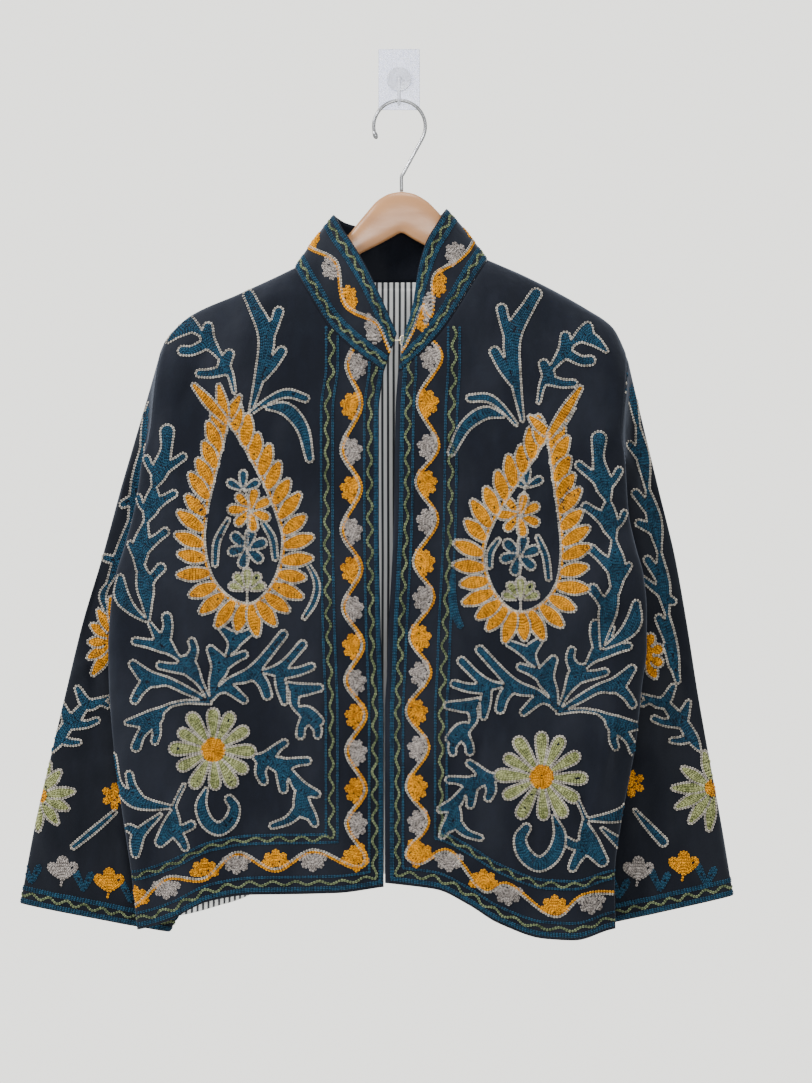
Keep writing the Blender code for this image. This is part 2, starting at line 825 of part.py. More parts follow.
def add_hanger_body(material, collection):
    """The hanger, lofted through rounded sections from one arm's tip to the other."""
    build = bmesh.new()
    rings = []
    left_arm, right_arm = (arm_rows(arm) for arm in HANGER_ARMS)
    for row in left_arm[::-1] + list(HANGER_MIDDLE) + right_arm:
        top, under = row.top * MM, row.under * MM
        ring = []
        for step in range(HANGER_SECTION_POINTS):
            turn = 2 * math.pi * (step + 0.5) / HANGER_SECTION_POINTS
            wide, tall = math.cos(turn), math.sin(turn)
            squash = (abs(wide) ** HANGER_ROUNDING + abs(tall) ** HANGER_ROUNDING) ** (
                -1 / HANGER_ROUNDING)
            ring.append(build.verts.new((
                row.x * MM,
                RIDGE_Y + HANGER_HALF_DEPTH * wide * squash,
                (top + under) / 2 + (top - under) / 2 * tall * squash)))
        rings.append(ring)
    for ring, following in zip(rings, rings[1:]):
        for step in range(HANGER_SECTION_POINTS):
            after = (step + 1) % HANGER_SECTION_POINTS
            build.faces.new((ring[step], ring[after], following[after], following[step]))
    build.faces.new(rings[0])
    build.faces.new(rings[-1])
    return add_mesh_object("hanger_body", build, material, collection)


def add_wire(name, points, radius, material, collection):
    """A round wire along points, as a curve with closed ends."""
    curve = bpy.data.curves.new(name, "CURVE")
    curve.dimensions = "3D"
    curve.bevel_depth = radius
    curve.bevel_resolution = 2
    curve.use_fill_caps = True
    spline = curve.splines.new("POLY")
    spline.points.add(len(points) - 1)
    for spot, point in zip(spline.points, points):
        spot.co = (*point, 1.0)
    curve.materials.append(material)
    item = bpy.data.objects.new(name, curve)
    collection.objects.link(item)
    return item


def on_wire_arc(angle):
    return WIRE_ARC_CENTRE + WIRE_ARC_RADIUS * Vector((math.cos(angle), 0, math.sin(angle)))


def add_hanger_wire(material, collection):
    """The hanger's hook: over the peg, round to its right and down into the hanger."""
    sweep = WIRE_END - WIRE_START
    points = [on_wire_arc(WIRE_START + sweep * step / WIRE_ARC_STEPS)
              for step in range(WIRE_ARC_STEPS + 1)]
    foot_top = HANGER_FOOT + Vector((0, 0, WIRE_FOOT))
    for share in WIRE_NECK_SHARES:
        points.append(points[WIRE_ARC_STEPS].lerp(foot_top, share))
    points.append(foot_top - Vector((0, 0, WIRE_RADIUS)))
    points.append(HANGER_FOOT + Vector((0, 0, SEAM_GAP)))
    return add_wire("hanger_wire", points, WIRE_RADIUS, material, collection)


def add_wall_plate(material, collection):
    bpy.ops.mesh.primitive_cube_add(size=1, location=(0, -PLATE_THICKNESS / 2, 0))
    plate = bpy.context.object
    plate.name = "wall_plate"
    plate.scale = (PLATE_WIDTH, PLATE_THICKNESS, PLATE_HEIGHT)
    bpy.ops.object.transform_apply(location=False, rotation=False, scale=True)
    edges = plate.modifiers.new("edges", "BEVEL")
    edges.width = PLATE_EDGE
    edges.segments = 1
    move_to(plate, material, collection)


def add_hook_disc(material, collection):
    middle = -PLATE_THICKNESS - SEAM_GAP - DISC_THICKNESS / 2
    bpy.ops.mesh.primitive_cylinder_add(vertices=DISC_SIDES, radius=DISC_RADIUS,
                                        depth=DISC_THICKNESS,
                                        location=(0, middle, 0), rotation=(math.pi / 2, 0, 0))
    disc = bpy.context.object
    disc.name = "hook_disc"
    edges = disc.modifiers.new("edges", "BEVEL")
    edges.width = PLATE_EDGE
    edges.segments = 1
    move_to(disc, material, collection)


def move_to(item, material, collection):
    for home in item.users_collection:
        home.objects.unlink(item)
    collection.objects.link(item)
    item.data.materials.append(material)


def add_hook_peg(material, collection):
    """The peg runs out of the disc and down, cradles the wire and turns up in front."""
    root_y = -PLATE_THICKNESS - DISC_THICKNESS - 2 * SEAM_GAP
    wire_z = WIRE_ARC_CENTRE.z + WIRE_ARC_RADIUS
    cradle = WIRE_RADIUS + SEAM_GAP + PEG_RADIUS
    points = [Vector((0, root_y, PEG_ROOT_Z)), Vector((0, root_y - PEG_RADIUS, PEG_ROOT_Z))]
    back = Vector((0, RIDGE_Y + cradle, wire_z))
    for share in PEG_ROOT_SHARES:
        points.append(points[1].lerp(back, share))
    for step in range(PEG_CRADLE_STEPS + 1):
        turn = math.pi * step / PEG_CRADLE_STEPS
        points.append(Vector((0, RIDGE_Y + cradle * math.cos(turn),
                              wire_z - cradle * math.sin(turn))))
    points.append(points[-1] + Vector((0, -PEG_RADIUS / 2, PEG_TIP_RISE)))
    return add_wire("hook_peg", points, PEG_RADIUS, material, collection)


def add_fastening(collar, metal, collection):
    """A wire eye on the left end of the collar and a wire hook on the right end."""
    right_end = end_of(collar, 0, FASTENER_Z)
    left_end = end_of(collar, collar.columns - 1, FASTENER_Z)
    high = FASTENER_Z + EYE_HEIGHT / 2
    low = FASTENER_Z - EYE_HEIGHT / 2
    high_x = end_of(collar, collar.columns - 1, high).x - SEAM_GAP
    low_x = end_of(collar, collar.columns - 1, low).x - 2 * SEAM_GAP
    eye_reach = left_end.x - EYE_DEPTH
    eye = [Vector((high_x, left_end.y, high)),
           Vector((eye_reach + EYE_CORNER, left_end.y, high)),
           Vector((eye_reach, left_end.y, high - EYE_CORNER)),
           Vector((eye_reach, left_end.y, low + EYE_CORNER)),
           Vector((eye_reach + EYE_CORNER, left_end.y, low)),
           Vector((low_x, left_end.y, low))]
    add_wire("fastening_eye", eye, FASTENER_WIRE, metal, collection)
    bend = 2 * FASTENER_WIRE + SEAM_GAP
    hook = [Vector((right_end.x + SEAM_GAP, left_end.y - bend, FASTENER_Z))]
    for step in range(HOOK_BEND_STEPS + 1):
        turn = math.pi * step / HOOK_BEND_STEPS
        hook.append(Vector((eye_reach + bend * math.sin(turn),
                            left_end.y - bend * math.cos(turn), FASTENER_Z)))
    hook.append(Vector((eye_reach - bend, left_end.y + bend, FASTENER_Z)))
    add_wire("fastening_hook", hook, FASTENER_WIRE, metal, collection)


def end_of(collar, col, height):
    """Where a collar end passes a height, at half the cloth's depth."""
    ring = [collar.points[row][col] for row in range(collar.rows)]
    heights = Track([point.z for point in ring], [point.x for point in ring])
    depths = Track([point.z for point in ring], [point.y for point in ring])
    return Vector((heights.at(height), depths.at(height) + VELVET / 2, height))


def armhole_ring(front, back, back_column):
    """The armhole seam: down the front's edge to the underarm and up the back's edge."""
    down = [front.points[row][FRONT_COLUMNS].copy() for row in range(UPPER_ROWS + 1)]
    up = [back.points[row][back_column].copy() for row in range(UPPER_ROWS - 1, 0, -1)]
    return down + up


def ridge_normal(edge, col, towards_side=1):
    """Straight up from the shoulder's ridge, square to the stretch that ends at a column."""
    along = edge[col] - edge[col - towards_side]
    normal = along.cross(Vector((0, 1, 0))).normalized()
    return normal if normal.z > 0 else -normal


def neckline_spots():
    """The neckline's points in order, as the piece that holds each and its column."""
    middle = BACK_HALF_COLUMNS
    spots = [("right", col) for col in range(NECK_COLUMNS + 1)]
    spots += [("back", middle - col) for col in range(NECK_COLUMNS - 1, 0, -1)]
    spots += [("back", middle + col) for col in range(NECK_COLUMNS)]
    spots += [("left", col) for col in range(NECK_COLUMNS, -1, -1)]
    return spots


def main():
    for item in list(bpy.data.objects):
        bpy.data.objects.remove(item)
    collection = bpy.data.collections.new("velvet_jacket")
    bpy.context.scene.collection.children.link(collection)

    looks = {name: new_material(name) for name in FINISHES}
    right, left = BodyHalf(RIGHT), BodyHalf(LEFT)
    fronts = {right: front_cloth(right), left: front_cloth(left)}
    back = back_cloth(right, left)
    sleeves = {}
    for body, back_column in ((right, 0), (left, back.columns - 1)):
        ring = armhole_ring(fronts[body], back, back_column)
        sleeves[body] = sleeve_cloth(body, ring)

    shoulder_columns = range(NECK_COLUMNS, FRONT_COLUMNS + 1)
    for body, front in fronts.items():
        for col in shoulder_columns:
            neighbour = min(col + 1, FRONT_COLUMNS)
            front.normals[0][col] = ridge_normal(front.points[0], neighbour)
    for col in range(back.columns):
        from_middle = col - BACK_HALF_COLUMNS
        if abs(from_middle) >= NECK_COLUMNS:
            towards_side = 1 if from_middle > 0 else -1
            neighbour = min(max(col + towards_side, 0), back.columns - 1)
            back.normals[0][col] = ridge_normal(back.points[0], neighbour, towards_side)

    for body, back_column in ((right, 0), (left, back.columns - 1)):
        front, sleeve = fronts[body], sleeves[body]
        side_rows = range(UPPER_ROWS, LAST_ROW + 1)
        share_normals(front, [(row, FRONT_COLUMNS) for row in side_rows],
                      back, [(row, back_column) for row in side_rows])
        share_normals(front, [(row, FRONT_COLUMNS) for row in range(UPPER_ROWS + 1)],
                      sleeve, [(0, row) for row in range(UPPER_ROWS + 1)])
        share_normals(back, [(row, back_column) for row in range(UPPER_ROWS, -1, -1)],
                      sleeve, [(0, col % sleeve.columns) for col in
                               range(UPPER_ROWS, 2 * UPPER_ROWS + 1)])

    neck_spots = neckline_spots()
    pieces = {"right": fronts[right], "left": fronts[left], "back": back}
    base = [pieces[piece].points[0][col].copy() for piece, col in neck_spots]
    base_normals = [pieces[piece].normals[0][col] for piece, col in neck_spots]
    collar = collar_cloth(right, left, base, base_normals)

    every_row = range(LAST_ROW + 1)
    for body, front in fronts.items():
        front.pull_in([(row, FRONT_COLUMNS) for row in every_row], 0, -1)
        front.pull_in([(0, col) for col in range(FRONT_COLUMNS + 1)], 1, 0)
        sleeve = sleeves[body]
        sleeve.pull_in([(0, col) for col in range(sleeve.columns)], 1, 0)
    back.pull_in([(row, 0) for row in every_row], 0, 1)
    back.pull_in([(row, back.columns - 1) for row in every_row], 0, -1)
    back.pull_in([(0, col) for col in range(back.columns)], 1, 0)
    collar.pull_in([(COLLAR_ROWS, col) for col in range(collar.columns)], -1, 0)
    lining = lining_cloth(back)

    add_wall("front_right", fronts[right], VELVET, looks["velvet"], collection)
    add_wall("front_left", fronts[left], VELVET, looks["velvet"], collection)
    add_wall("back", back, VELVET, looks["velvet"], collection)
    add_wall("sleeve_right", sleeves[right], VELVET, looks["velvet"], collection)
    add_wall("sleeve_left", sleeves[left], VELVET, looks["velvet"], collection)
    add_wall("collar", collar, VELVET, looks["velvet"], collection)
    add_wall("lining_back", lining, LINING, looks["striped_cotton"], collection)
    add_hanger_body(looks["hanger_wood_tone"], collection)
    add_hanger_wire(looks["bright_steel"], collection)
    add_fastening(collar, looks["pale_metal"], collection)
    add_wall_plate(looks["clear_plastic"], collection)
    add_hook_disc(looks["clear_plastic"], collection)
    add_hook_peg(looks["clear_plastic"], collection)


main()
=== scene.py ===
"""Embroidered velvet jacket on its hanger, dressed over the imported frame.

The viewer stands at -Y, X runs to the viewer's right and Z up; right and left in the names are
the wearer's. Pattern tables are in millimetres from the middle of the wall plate.
"""
import logging
import math
from collections import defaultdict
from dataclasses import dataclass, field
from enum import Enum
from typing import Callable, Iterable, Optional

import bmesh
import bpy
import numpy as np
from mathutils import Matrix, Vector
from mathutils.bvhtree import BVHTree


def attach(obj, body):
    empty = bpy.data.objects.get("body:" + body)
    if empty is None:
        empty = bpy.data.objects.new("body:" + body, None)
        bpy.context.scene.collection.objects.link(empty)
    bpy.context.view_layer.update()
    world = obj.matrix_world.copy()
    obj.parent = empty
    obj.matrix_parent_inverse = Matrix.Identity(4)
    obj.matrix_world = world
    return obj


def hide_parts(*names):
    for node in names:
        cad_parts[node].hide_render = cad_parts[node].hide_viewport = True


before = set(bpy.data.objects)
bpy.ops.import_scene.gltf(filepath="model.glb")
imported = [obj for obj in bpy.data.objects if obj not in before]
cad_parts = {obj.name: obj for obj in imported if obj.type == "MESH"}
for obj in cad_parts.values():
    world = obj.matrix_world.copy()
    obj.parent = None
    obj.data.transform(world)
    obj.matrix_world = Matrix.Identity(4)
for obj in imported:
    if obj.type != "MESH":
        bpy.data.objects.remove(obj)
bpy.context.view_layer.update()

MM = 0.001
BODY = "root"
LOG = logging.getLogger("jacket")
Array, Material, Mesh, Thing = np.ndarray, bpy.types.Material, bpy.types.Mesh, bpy.types.Object
Node, Socket, Tree = bpy.types.Node, bpy.types.NodeSocket, bpy.types.NodeTree


class Track:
    """A smooth curve through a table's rows, held flat past its ends."""

    def __init__(self, keys: Iterable[float], values: Iterable[float]) -> None:
        """Fit the curve."""
        order = np.argsort(list(keys))
        self.keys = np.array(list(keys), float)[order]
        self.values = np.array(list(values), float)[order]
        slopes = np.diff(self.values) / np.diff(self.keys)
        before, after = slopes[:-1], slopes[1:]
        product, total = before * after, before + after
        inner = np.where(product > 0, 2 * product / np.where(product > 0, total, 1), 0.0)
        self.tangents = np.concatenate([slopes[:1], inner, slopes[-1:]])

    @classmethod
    def of(cls, rows: tuple, key: Optional[int], value: int) -> "Track":
        """A track of a millimetre table's column, in metres, against another or the rows' places."""
        keys = range(len(rows)) if key is None else [row[key] * MM for row in rows]
        return cls(keys, [row[value] * MM for row in rows])

    def at(self, key: Array) -> Array:
        """The curve's value."""
        key = np.clip(key, self.keys[0], self.keys[-1])
        index = np.clip(np.searchsorted(self.keys, key, side="right") - 1, 0, len(self.keys) - 2)
        run = self.keys[index + 1] - self.keys[index]
        t = (key - self.keys[index]) / run
        leave, arrive = self.tangents[index] * run, self.tangents[index + 1] * run
        return (self.values[index] * (1 + 2 * t) * (1 - t) ** 2 + leave * t * (1 - t) ** 2
                + self.values[index + 1] * t * t * (3 - 2 * t) - arrive * t * t * (1 - t))


def smooth_step(t: Array) -> Array:
    """A soft step from 0 at 0 to 1 at 1."""
    t = np.clip(t, 0.0, 1.0)
    return t * t * (3 - 2 * t)


def quarter_round(t: Array) -> Array:
    """Height of a quarter circle: steep at 0 and level from 1 on."""
    t = np.clip(t, 0.0, 1.0)
    return np.sqrt(1 - (1 - t) ** 2)


def lengths_along(points: Array, axis: int = 0, unit: float = 1.0) -> Array:
    """Distance to each point from the first one along an axis of a grid."""
    steps = np.linalg.norm(np.diff(points, axis=axis), axis=-1) / unit
    return np.insert(np.cumsum(steps, axis=axis), 0, 0.0, axis=axis)


def quads(rows: int, columns: int, closed: bool) -> list:
    """Corner numbers of a grid's faces, the near row's two first."""
    spans = columns if closed else columns - 1
    return [(r * columns + c, r * columns + (c + 1) % columns, (r + 1) * columns + (c + 1) % columns,
             (r + 1) * columns + c) for r in range(rows - 1) for c in range(spans)]


@dataclass(frozen=True)
class HalfPattern:
    """One half's pattern, as the solids have it. Each row is in millimetres."""

    out: int
    side: tuple          # height, side fold out from X = 0, seam behind the fold
    back_edge: tuple     # height, armhole out, depth
    tuck: tuple          # height, where the back has come forward
    front_edge: tuple    # x, height
    neckline: tuple      # x, height
    front_hem: tuple     # x, height
    seam_hem: float
    back_hem: tuple      # x, height
    sleeve: tuple        # outer x, outer height, inner x, inner height, depth, half depth
    collar_front: tuple  # share, x, y, height of the top edge
    collar_back: tuple
    waves: tuple         # top x, top height, hem x, half width, height


SHOULDER_LINE = (
    (-243, -279), (-232, -262), (-209, -241), (-160, -219), (-105, -193), (-60, -167),
    (-8, -148), (44, -165), (89, -185), (130, -203), (191, -236), (215, -253), (230, -283),
    (236, -300),
)
FRONT_DEPTH = (  # height, depth at the front edge, depth at the side fold
    (-900, -56, -45), (-760, -59, -46), (-640, -63, -48), (-500, -66, -48), (-400, -65, -47),
    (-300, -62, -46), (-220, -60, -45), (-140, -58, -44),
)
BACK_WAVES = (
    (-60, -330, -72, 30, 7), (10, -420, 14, 26, 5), (64, -300, 82, 32, 8),
    (-150, -560, -166, 22, 5), (128, -560, 134, 20, 5),
)
RIGHT = HalfPattern(
    out=-1,
    side=(
        (-860, 262, 36), (-803, 268, 44), (-748, 276, 54), (-671, 286, 70), (-615, 290, 84),
        (-576, 291, 95), (-540, 289, 105), (-505, 284, 110), (-475, 275, 72), (-442, 266, 36),
        (-415, 261, 14), (-390, 258, 3), (-366, 254, -3), (-340, 252, -5), (-308, 249, -5),
        (-273, 244, -5),
    ),
    back_edge=((-505, 174, -34), (-470, 191, -24), (-430, 211, -16), (-380, 229, -11),
               (-330, 237, -9), (-273, 239, -9)),
    tuck=((-864, 226), (-798, 217), (-745, 196), (-692, 181), (-640, 172), (-590, 171),
          (-505, 174), (-430, 211), (-273, 239)),
    front_edge=((-15.2, -860), (-15.2, -640), (-16.5, -600), (-18, -560), (-20, -442),
                (-20, -340), (-15, -300)),
    neckline=((-105, -193), (-99, -206), (-89, -223), (-71, -252), (-46, -277), (-15, -300)),
    front_hem=((-291, -862), (-262, -858), (-228, -847), (-190, -829), (-150, -822),
               (-64, -820), (-15, -814)),
    seam_hem=-846,
    back_hem=((-239, -846), (-226, -844), (-170, -831), (-120, -814), (-8, -806)),
    sleeve=(
        (-281, -415, -152, -552, -18, 13), (-300, -485, -148, -590, -17.5, 13.5),
        (-320, -552, -149, -640, -17, 13.5), (-337, -622, -158, -692, -17, 13),
        (-353, -690, -174, -745, -16.5, 12.5), (-368, -755, -195, -798, -16, 12),
        (-383, -835, -232, -864, -15.5, 11),
    ),
    collar_front=((0, -2, -60, -262), (0.2, -16, -58, -230), (0.4, -31, -54, -198),
                  (0.6, -44, -50, -175), (0.8, -57, -43, -155), (0.92, -63.5, -35, -144),
                  (1, -66, -26, -140)),
    collar_back=((0, -8, -8.5, -152), (0.4, -36, -9.5, -151), (0.7, -54, -13, -147),
                 (0.88, -63, -18.5, -142), (1, -66, -26, -140)),
    waves=((-215, -420, -226, 26, 7), (-118, -560, -108, 30, 5), (-60, -330, -52, 24, 4)),
)
LEFT = HalfPattern(
    out=1,
    side=(
        (-860, 217, 34), (-803, 216, 40), (-748, 223, 50), (-671, 237, 66), (-615, 243, 78),
        (-576, 248, 88), (-540, 248, 96), (-505, 245, 100), (-475, 237, 66), (-442, 230, 34),
        (-415, 228, 14), (-390, 227, 3), (-366, 227, -3), (-340, 230, -5), (-310, 233, -5),
        (-283, 235, -5),
    ),
    back_edge=((-505, 145, -34), (-470, 163, -24), (-430, 185, -16), (-380, 208, -11),
               (-330, 224, -9), (-283, 230, -9)),
    tuck=((-860, 183), (-795, 176), (-740, 166), (-690, 154), (-640, 151), (-590, 152),
          (-505, 145), (-430, 185), (-283, 230)),
    front_edge=((-14, -860), (-14, -640), (-12, -600), (-10.5, -560), (-5, -442), (-3.5, -340),
                (-1, -300)),
    neckline=((-1, -300), (25, -278), (46, -254), (61, -231), (76, -206), (84, -193),
              (89, -185)),
    front_hem=((-15, -810), (36, -816), (70, -832), (99, -850), (146, -866), (174, -867),
               (218, -857), (248, -856)),
    seam_hem=-850,
    back_hem=((-8, -806), (60, -812), (110, -832), (160, -846), (230, -850)),
    sleeve=(
        (262, -415, 138, -548, -18, 13), (279, -485, 131, -590, -17.5, 13.5),
        (291, -552, 128, -640, -17, 13.5), (302, -622, 131, -690, -17, 13),
        (314, -690, 144, -740, -16.5, 12.5), (326, -755, 160, -795, -16, 12),
        (338, -827, 188, -860, -15.5, 11),
    ),
    collar_front=((0, 6, -60, -262), (0.2, 14, -58, -232), (0.4, 19, -55, -198),
                  (0.6, 27, -51, -170), (0.8, 39, -44, -149), (0.92, 45.5, -35.5, -138),
                  (1, 48, -26, -134)),
    collar_back=((0, -8, -8.5, -152), (0.4, 19, -9.5, -151), (0.7, 37, -13, -144),
                 (0.88, 45, -18.5, -137), (1, 48, -26, -134)),
    waves=((186, -400, 178, 26, 7), (96, -520, 84, 30, 5), (30, -330, 22, 22, 4)),
)


@dataclass(frozen=True)
class Cut:
    """Sizes that the pieces share, as in the solids; the finer mesh adds steps between."""

    velvet: float = 2.0 * MM
    lining: float = 1.0 * MM
    gap: float = 0.3 * MM
    ridge_y: float = -26 * MM
    wall_side_y: float = -5.5 * MM
    wrap_y: float = -36 * MM
    seam_y: float = -34 * MM
    fold_rounding: int = 7
    wrap_rounding: float = 30 * MM
    wrap_length: float = 110 * MM
    neck_columns: int = 7
    chest_columns: int = 8
    wrap_columns: int = 5
    back_side_columns: int = 7
    least_wrap: float = 4 * MM
    wrap_spread: float = 1.5
    underarm_z: float = -505 * MM
    yoke_rows: int = 5
    upper_rows: int = 10
    skirt_rows: int = 11
    yoke_share: float = 0.36
    front_roll: float = 0.26
    back_roll: float = 0.15
    rise_width: float = 85 * MM
    middle_x: float = -8 * MM
    back_neck_z: float = -207 * MM
    back_neck_curve: int = 4
    sleeve_rounding: float = 2.5

    @property
    def last_row(self) -> int:
        """Rows from the top edge to the hem."""
        return self.upper_rows + self.skirt_rows

    @property
    def front_columns(self) -> int:
        """Columns from the front edge to the side seam."""
        return self.neck_columns + self.chest_columns + self.wrap_columns

    @property
    def back_half(self) -> int:
        """Columns from the middle of the back to the side seam."""
        return self.neck_columns + self.back_side_columns


CUT = Cut()
SHOULDER = Track.of(SHOULDER_LINE, 0, 1)
MIDDLE_Y = Track.of(FRONT_DEPTH, 0, 1)
FOLD_Y = Track.of(FRONT_DEPTH, 0, 2)


def row_height(top: Array, hem: Array, row: Array) -> Array:
    """Height of a row between a panel's top edge and its hem, by way of the underarm."""
    yoke = CUT.yoke_share * (1 - np.cos(math.pi / 2 * np.minimum(row / CUT.yoke_rows, 1)))
    below = (row - CUT.yoke_rows) / (CUT.upper_rows - CUT.yoke_rows)
    fall = np.where(row <= CUT.yoke_rows, yoke, CUT.yoke_share + (1 - CUT.yoke_share) * below)
    upper = top + (CUT.underarm_z - top) * fall
    skirt = CUT.underarm_z + (hem - CUT.underarm_z) * (row - CUT.upper_rows) / CUT.skirt_rows
    return np.where(row <= CUT.upper_rows, upper, skirt)


def wave_height(waves: tuple, x: Array, z: Array, hem: Array) -> Array:
    """How far the soft vertical folds move the cloth: nothing at the top, most at the hem."""
    total = np.zeros(np.broadcast(x, z).shape)
    for top_x, top_z, hem_x, half_width, height in waves:
        share = smooth_step((top_z * MM - z) / (top_z * MM - hem))
        middle = (top_x + (hem_x - top_x) * share) * MM
        total += height * MM * share * np.exp(-((x - middle) / (half_width * MM)) ** 2)
    return total


class BodyHalf:
    """The surfaces of the body's front and back on one side, as arrays of points."""

    def __init__(self, pattern: HalfPattern) -> None:
        """Fit the tracks of one half's pattern."""
        self.pattern, self.out = pattern, pattern.out
        self.fold = Track.of(pattern.side, 0, 1)
        self.past = Track.of(pattern.side, 0, 2)
        self.back_out = Track.of(pattern.back_edge, 0, 1)
        self.back_y = Track.of(pattern.back_edge, 0, 2)
        self.tuck = Track.of(pattern.tuck, 0, 1)
        self.edge = Track.of(pattern.front_edge, 1, 0)
        self.neckline = Track.of(pattern.neckline, 0, 1)
        self.front_hem = Track.of(pattern.front_hem, 0, 1)
        self.back_hem = Track.of(pattern.back_hem, 0, 1)
        self.neck_x = max((row[0] * MM for row in pattern.neckline), key=abs)
        self.neck_top = pattern.neckline[-1 if self.out > 0 else 0][1] * MM
        self.tip_z = pattern.side[-1][0] * MM
        self.low_z = pattern.side[0][0] * MM

    def reach(self, z: Array) -> Array:
        """Distance along the cloth from the front edge to the side fold."""
        return self.fold.at(z) - self.out * self.edge.at(z)

    def front_run(self, index: Array, z: Array) -> Array:
        """Distance along the cloth from the front edge to a column."""
        neck = self.out * (self.neck_x - self.edge.at(z))
        total = self.reach(z) + self.past.at(z)
        turn = np.minimum(self.reach(z), total - CUT.least_wrap)
        chest = np.clip((index - CUT.neck_columns) / CUT.chest_columns, 0, 1)
        wrap = np.clip((index - CUT.neck_columns - CUT.chest_columns) / CUT.wrap_columns, 0, 1)
        near = neck * np.sin(math.pi / 2 * np.minimum(index / CUT.neck_columns, 1))
        middle = neck + (turn - neck) * np.sin(math.pi / 2 * chest)
        far = turn + (total - turn) * wrap ** CUT.wrap_spread
        return np.where(index <= CUT.neck_columns, near, np.where(wrap > 0, far, middle))

    def front_spot(self, run: Array, z: Array) -> tuple[Array, Array]:
        """X and flat depth of the front's cloth at a distance from the front edge."""
        past = np.maximum(run - self.reach(z), 0)
        across = np.clip(run / self.reach(z), 0, 1)
        swell = np.sqrt(1 - across ** CUT.fold_rounding)
        shown = FOLD_Y.at(z) + (MIDDLE_Y.at(z) - FOLD_Y.at(z)) * swell
        hidden = FOLD_Y.at(z) + (CUT.wrap_y - FOLD_Y.at(z)) * quarter_round(past / CUT.wrap_rounding)
        hidden += (CUT.seam_y - CUT.wrap_y) * np.minimum(past / CUT.wrap_length, 1.0)
        x = np.where(past > 0, self.out * (self.fold.at(z) - past), self.edge.at(z) + self.out * run)
        return x, np.where(past > 0, hidden, shown)

    def rolled(self, depth: Array, top_x: Array, z: Array, roll: float) -> Array:
        """Bring a flat depth round to the shoulder's ridge near the top."""
        crest = SHOULDER.at(top_x)
        share = quarter_round((crest - z) / (roll * (crest - CUT.underarm_z)))
        return CUT.ridge_y + (depth - CUT.ridge_y) * share

    def front_hem_at(self, index: Array) -> Array:
        """Height of the front's hem at a column: behind the fold it goes to the side seam's."""
        run = self.front_run(index, self.low_z)
        x, _ = self.front_spot(run, self.low_z)
        behind = np.maximum(run - self.reach(self.low_z), 0) / self.past.at(self.low_z)
        at_fold = self.front_hem.at(self.out * self.fold.at(self.low_z))
        return np.where(behind > 0, at_fold + (self.pattern.seam_hem * MM - at_fold) * behind,
                        self.front_hem.at(x))

    def front_grid(self, columns: Array, rows: Array) -> Array:
        """The front's outer surface."""
        index, row = np.meshgrid(columns, rows)
        top_x = self.edge.at(self.tip_z) + self.out * self.front_run(index, self.tip_z)
        top = np.where(index < CUT.neck_columns, self.neckline.at(top_x), SHOULDER.at(top_x))
        hem = self.front_hem_at(index)
        z = row_height(top, hem, row)
        run = self.front_run(index, z)
        x, depth = self.front_spot(run, z)
        flat = smooth_step((self.reach(z) - run) / CUT.wrap_rounding)
        depth = depth - np.where(run <= self.reach(z), 1, 0) * flat * wave_height(
            self.pattern.waves, x, z, hem)
        return np.stack([x, self.rolled(depth, top_x, z, CUT.front_roll), z], axis=-1)

    def back_edge_at(self, z: Array) -> tuple[Array, Array]:
        """Distance out and depth of the back's armhole edge or side seam."""
        x, depth = self.front_spot(self.reach(z) + self.past.at(z), z)
        above = z > CUT.underarm_z
        return np.where(above, self.back_out.at(z), np.abs(x)), np.where(above, self.back_y.at(z), depth)

    def back_run(self, index: Array, neck: float, side: Array) -> Array:
        """Distance from the middle of the back to a column."""
        near = neck * np.sin(math.pi / 2 * np.minimum(index / CUT.neck_columns, 1))
        far = neck + (side - neck) * (index - CUT.neck_columns) / CUT.back_side_columns
        return np.where(index <= CUT.neck_columns, near, far)

    def back_grid(self, columns: Array, rows: Array) -> Array:
        """The back's outer surface on this side, by places from the middle and from the top."""
        index, row = np.meshgrid(columns, rows)
        tip_out, _ = self.back_edge_at(np.array(self.tip_z))
        neck = abs(self.neck_x - CUT.middle_x)
        shoulder = abs(self.out * tip_out - CUT.middle_x)
        top_x = CUT.middle_x + self.out * self.back_run(index, neck, shoulder)
        share = np.abs(top_x - CUT.middle_x) / neck
        neck_z = CUT.back_neck_z + (self.neck_top - CUT.back_neck_z) * share ** CUT.back_neck_curve
        top = np.where(index < CUT.neck_columns, neck_z, SHOULDER.at(top_x))
        hem = self.back_hem.at(top_x)
        z = row_height(top, hem, row)
        edge_out, edge_depth = self.back_edge_at(z)
        side = np.abs(self.out * edge_out - CUT.middle_x)
        run = self.back_run(index, neck, side)
        x = CUT.middle_x + self.out * run
        full = np.minimum(np.abs(self.out * self.tuck.at(z) - CUT.middle_x), side)
        forward = smooth_step((run - full + CUT.rise_width) / CUT.rise_width)
        depth = CUT.wall_side_y + (edge_depth - CUT.wall_side_y) * forward
        depth -= wave_height(BACK_WAVES, x, z, hem) * smooth_step((side - run) / CUT.wrap_rounding)
        return np.stack([x, self.rolled(depth, top_x, z, CUT.back_roll), z], axis=-1)


